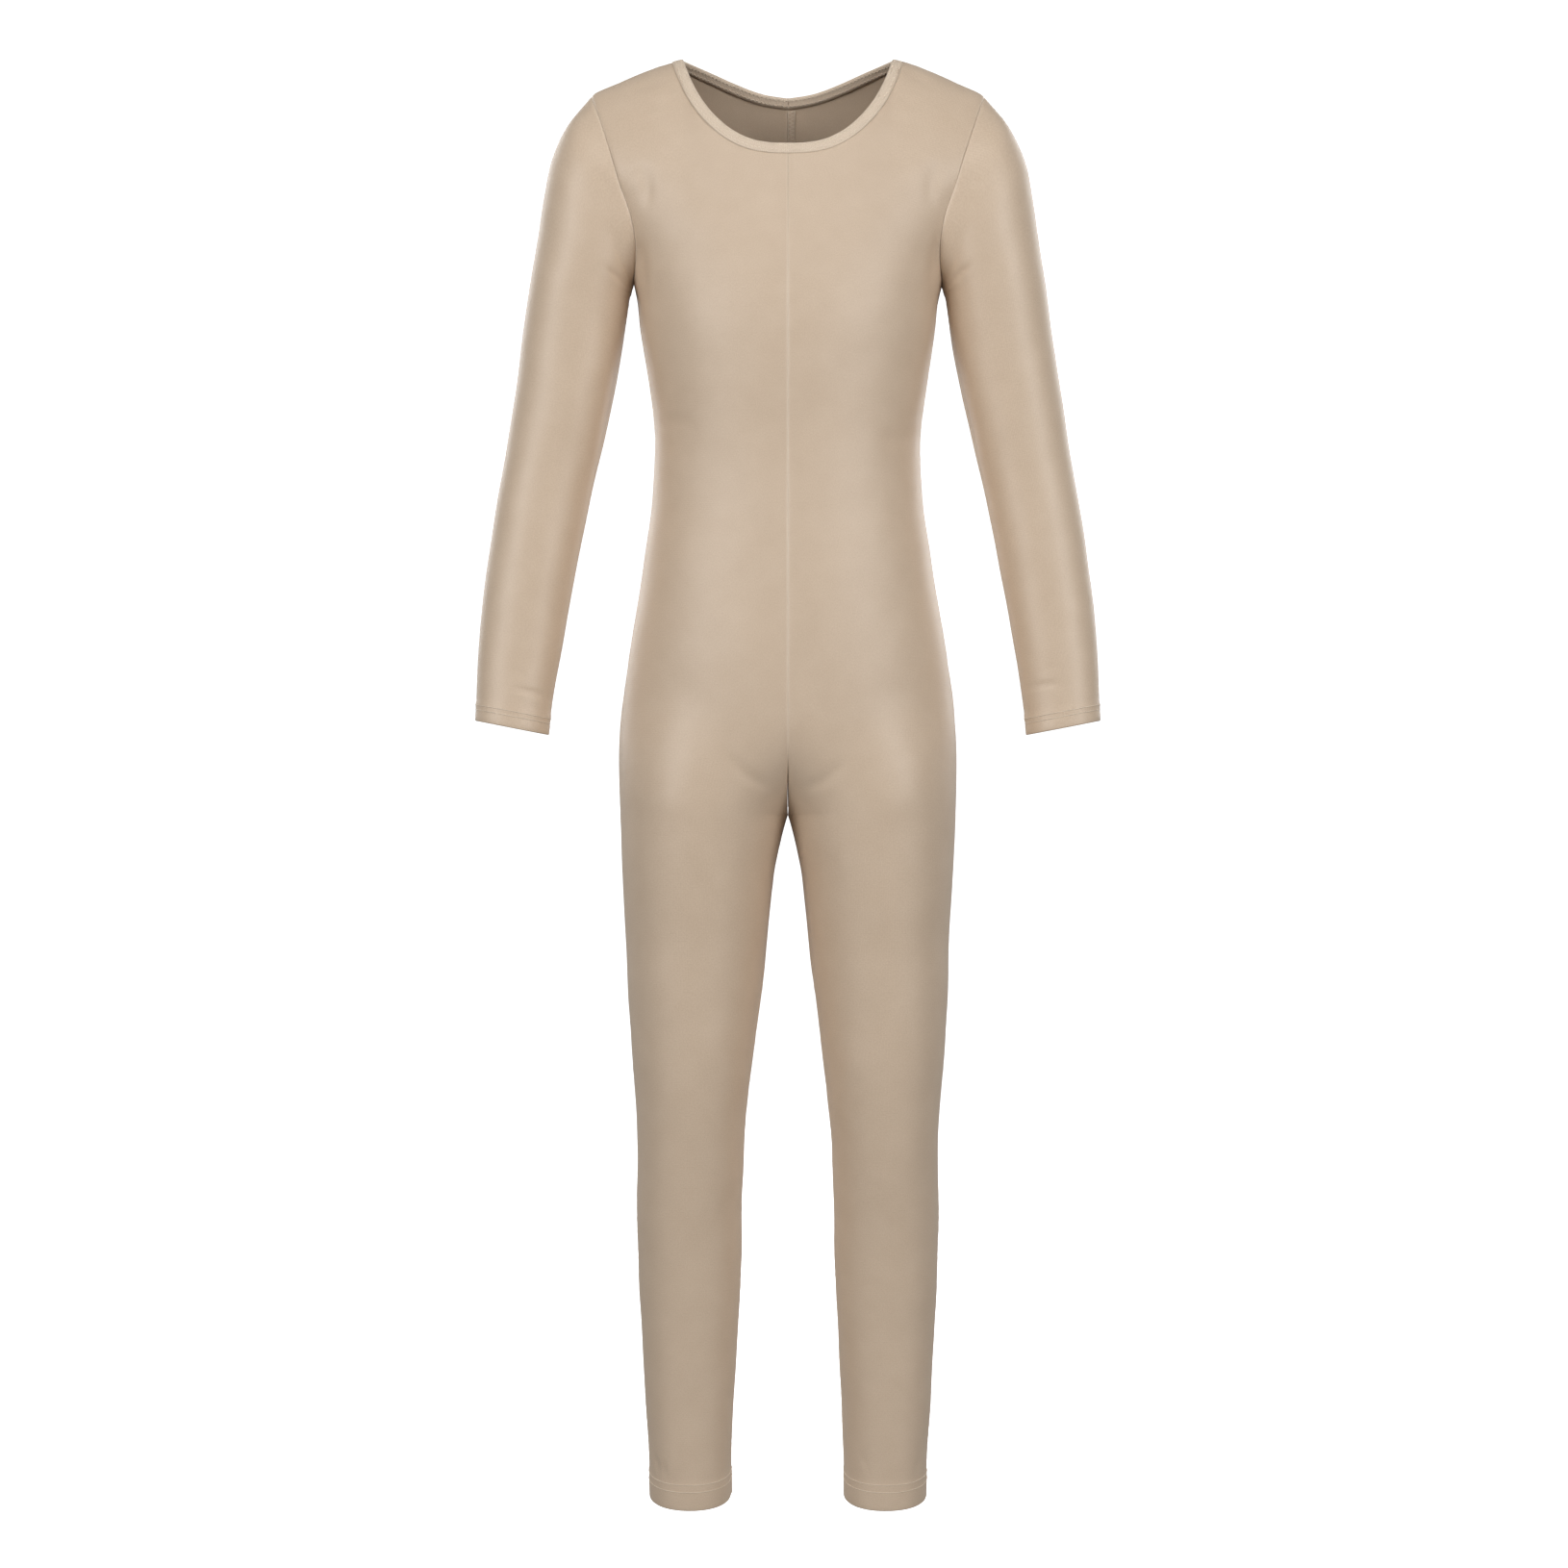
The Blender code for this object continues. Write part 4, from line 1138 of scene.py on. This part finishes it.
def allowance(name, line, outward, across, cloth, stitching):
    """The overlocked edge of a seam, pressed to one side inside the garment."""
    turn = np.linspace(0, 2 * math.pi, ALLOWANCE_SIDES + 1)[:-1, None, None]
    cosine, sine = np.cos(turn), np.sin(turn)
    wide = ALLOWANCE / 2 * (1 + np.sign(cosine) * np.abs(cosine) ** 0.5)
    deep = -CLOTH - ALLOWANCE_LEVEL + ALLOWANCE_HALF_THICKNESS * sine
    grid, out = line + wide * across + deep * outward, cosine * across + sine * outward
    strip = laid_grid(name, Cut(grid, out, np.zeros(grid.shape[:2])), cloth, closed=True)
    middle = line + ALLOWANCE / 2 * across - (CLOTH + OVERLOCK_LEVEL) * outward
    paths = [zigzag(middle, -outward, False, OVERLOCK, OVERLOCK_SWING, OVERLOCK_LIFT)]
    from_free, from_fold = EDGE_THREAD_INSETS
    for over in (ALLOWANCE - from_free, from_fold):
        edge = line + over * across - (CLOTH + EDGE_THREAD_LEVEL) * outward
        paths.append((*resampled(edge, -outward, False, EDGE_THREAD_STEP, 1), False))
    return strip, thread(name + "_thread", paths, THREAD, stitching)


def centre_allowance(side, surface, cloth, stitching):
    points, outward = surface
    free_top, free_bottom = ALLOWANCE_FREE_ROWS
    rows = slice(free_top, ARMHOLE_END + BODY_ROWS + CROTCH_ROWS - free_bottom, 2)
    line, out = points[0, rows], unit(outward[0, rows] * [0, 1, 1])
    across = unit(np.cross(unit(np.gradient(line, axis=0)), out))
    across = across * np.sign(across[0, 0])
    return allowance(f"centre_{side.name}_allowance", line, out, across, cloth, stitching)


def shoulder_allowance(surface, hand, cloth, stitching):
    line, out = (values[NECK_END:, 0] * to_hand(hand == "right") for values in surface)
    across = np.broadcast_to([0.0, 1.0, 0.0], line.shape)
    return allowance(f"shoulder_{hand}_allowance", line, out, across, cloth, stitching)


def armhole_allowance(ring, hand, cloth, stitching):
    closed = (np.concatenate([values, values[:1]]) for values in ring)
    line, out, down_arm = (values * to_hand(hand == "right") for values in closed)
    return allowance(f"armhole_{hand}_allowance", line, out, down_arm, cloth, stitching)


# Studio

def white_dome():
    """A seamless white dome and floor."""
    bm = bmesh.new()
    bmesh.ops.create_icosphere(bm, subdivisions=5, radius=DOME_RADIUS)
    for vert in bm.verts:
        vert.co.z = max(vert.co.z + FLOOR_LEVEL + DOME_MIDDLE, FLOOR_LEVEL)
    bmesh.ops.reverse_faces(bm, faces=bm.faces[:])
    white = Finish("studio white")
    white.set(Base_Color=(1, 1, 1, 1), Roughness=1.0, Emission_Color=(1, 1, 1, 1), Emission_Strength=1.0)
    white.set(Specular_IOR_Level=0.0)
    floor = placed("studio_floor", bm, white.material)
    floor.visible_diffuse = False
    floor.visible_glossy = False
    floor.visible_shadow = False


def front_camera():
    camera = bpy.data.objects.new("camera", bpy.data.cameras.new("camera"))
    camera.location = CAMERA_PLACE
    camera.rotation_euler = (math.pi / 2, 0, 0)
    camera.data.lens = CAMERA_LENS
    camera.data.sensor_width = CAMERA_SENSOR
    camera.data.clip_end = 40
    bpy.context.scene.collection.objects.link(camera)
    bpy.context.scene.camera = camera


def soft_lights():
    for name, place, size, power in LIGHTS:
        data = bpy.data.lights.new(name, "AREA")
        data.size = size
        data.energy = power
        light = bpy.data.objects.new(name, data)
        light.location = place
        aim = Vector(LIGHTS_AIM) - Vector(place)
        light.rotation_euler = aim.to_track_quat("-Z", "Y").to_euler()
        bpy.context.scene.collection.objects.link(light)


def studio():
    white_dome()
    front_camera()
    soft_lights()
    world = bpy.data.worlds.new("soft surround")
    world.use_nodes = True
    background = world.node_tree.nodes["Background"]
    background.inputs["Color"].default_value = (1, 1, 1, 1)
    background.inputs["Strength"].default_value = SURROUND
    bpy.context.scene.world = world
    bpy.context.scene.view_settings.view_transform = "Standard"


def clear_startup():
    kept = set(frame["nodes"].values()) | set(frame["bodies"].values())
    for obj in list(bpy.data.objects):
        if obj not in kept:
            bpy.data.objects.remove(obj, do_unlink=True)


def main():
    clear_startup()
    studio()
    knit, elastic, stitching = knit_finish(), elastic_finish(), thread_finish()
    surfaces = [panel_surface(FRONT), panel_surface(BACK)]
    arm_ring, places = armhole_ring(surfaces)
    ring = neck_ring(surfaces)
    for hand in ("left", "right"):
        mirrored = hand == "right"
        for side, surface in zip((FRONT, BACK), surfaces):
            cut = panel_cut(side, surface, arm_ring, ring, mirrored)
            name = f"{side.name}_{hand}"
            panel = laid_grid(name + "_cloth", cut, knit, mirrored=mirrored)
            attach(thicken(panel, CLOTH), "knit", name)
            stitches = hem_stitches(name + "_ankle_stitches", cut, ANKLE_STITCH_ROWS,
                                    stitching, False, mirrored)
            attach(stitches, "knit")
        cut = sleeve_cut(arm_ring, places, mirrored)
        sleeve = laid_grid(f"sleeve_{hand}_cloth", cut, knit, closed=True, mirrored=mirrored)
        attach(thicken(sleeve, CLOTH), "knit", f"sleeve_{hand}")
        stitches = hem_stitches(f"sleeve_{hand}_wrist_stitches", cut, WRIST_STITCH_ROWS,
                                stitching, True, mirrored)
        attach(stitches, "knit")
        for piece in shoulder_allowance(surfaces[0], hand, knit, stitching):
            attach(piece, "knit")
        for piece in armhole_allowance(arm_ring, hand, knit, stitching):
            attach(piece, "knit")
    for side, surface in zip((FRONT, BACK), surfaces):
        for piece in centre_allowance(side, surface, knit, stitching):
            attach(piece, "knit")
    edge = attach(neck_edge(ring, elastic), "neck_elastic", "neck_band")
    stitches = attach(neck_stitches(ring, stitching), "neck_elastic")


main()
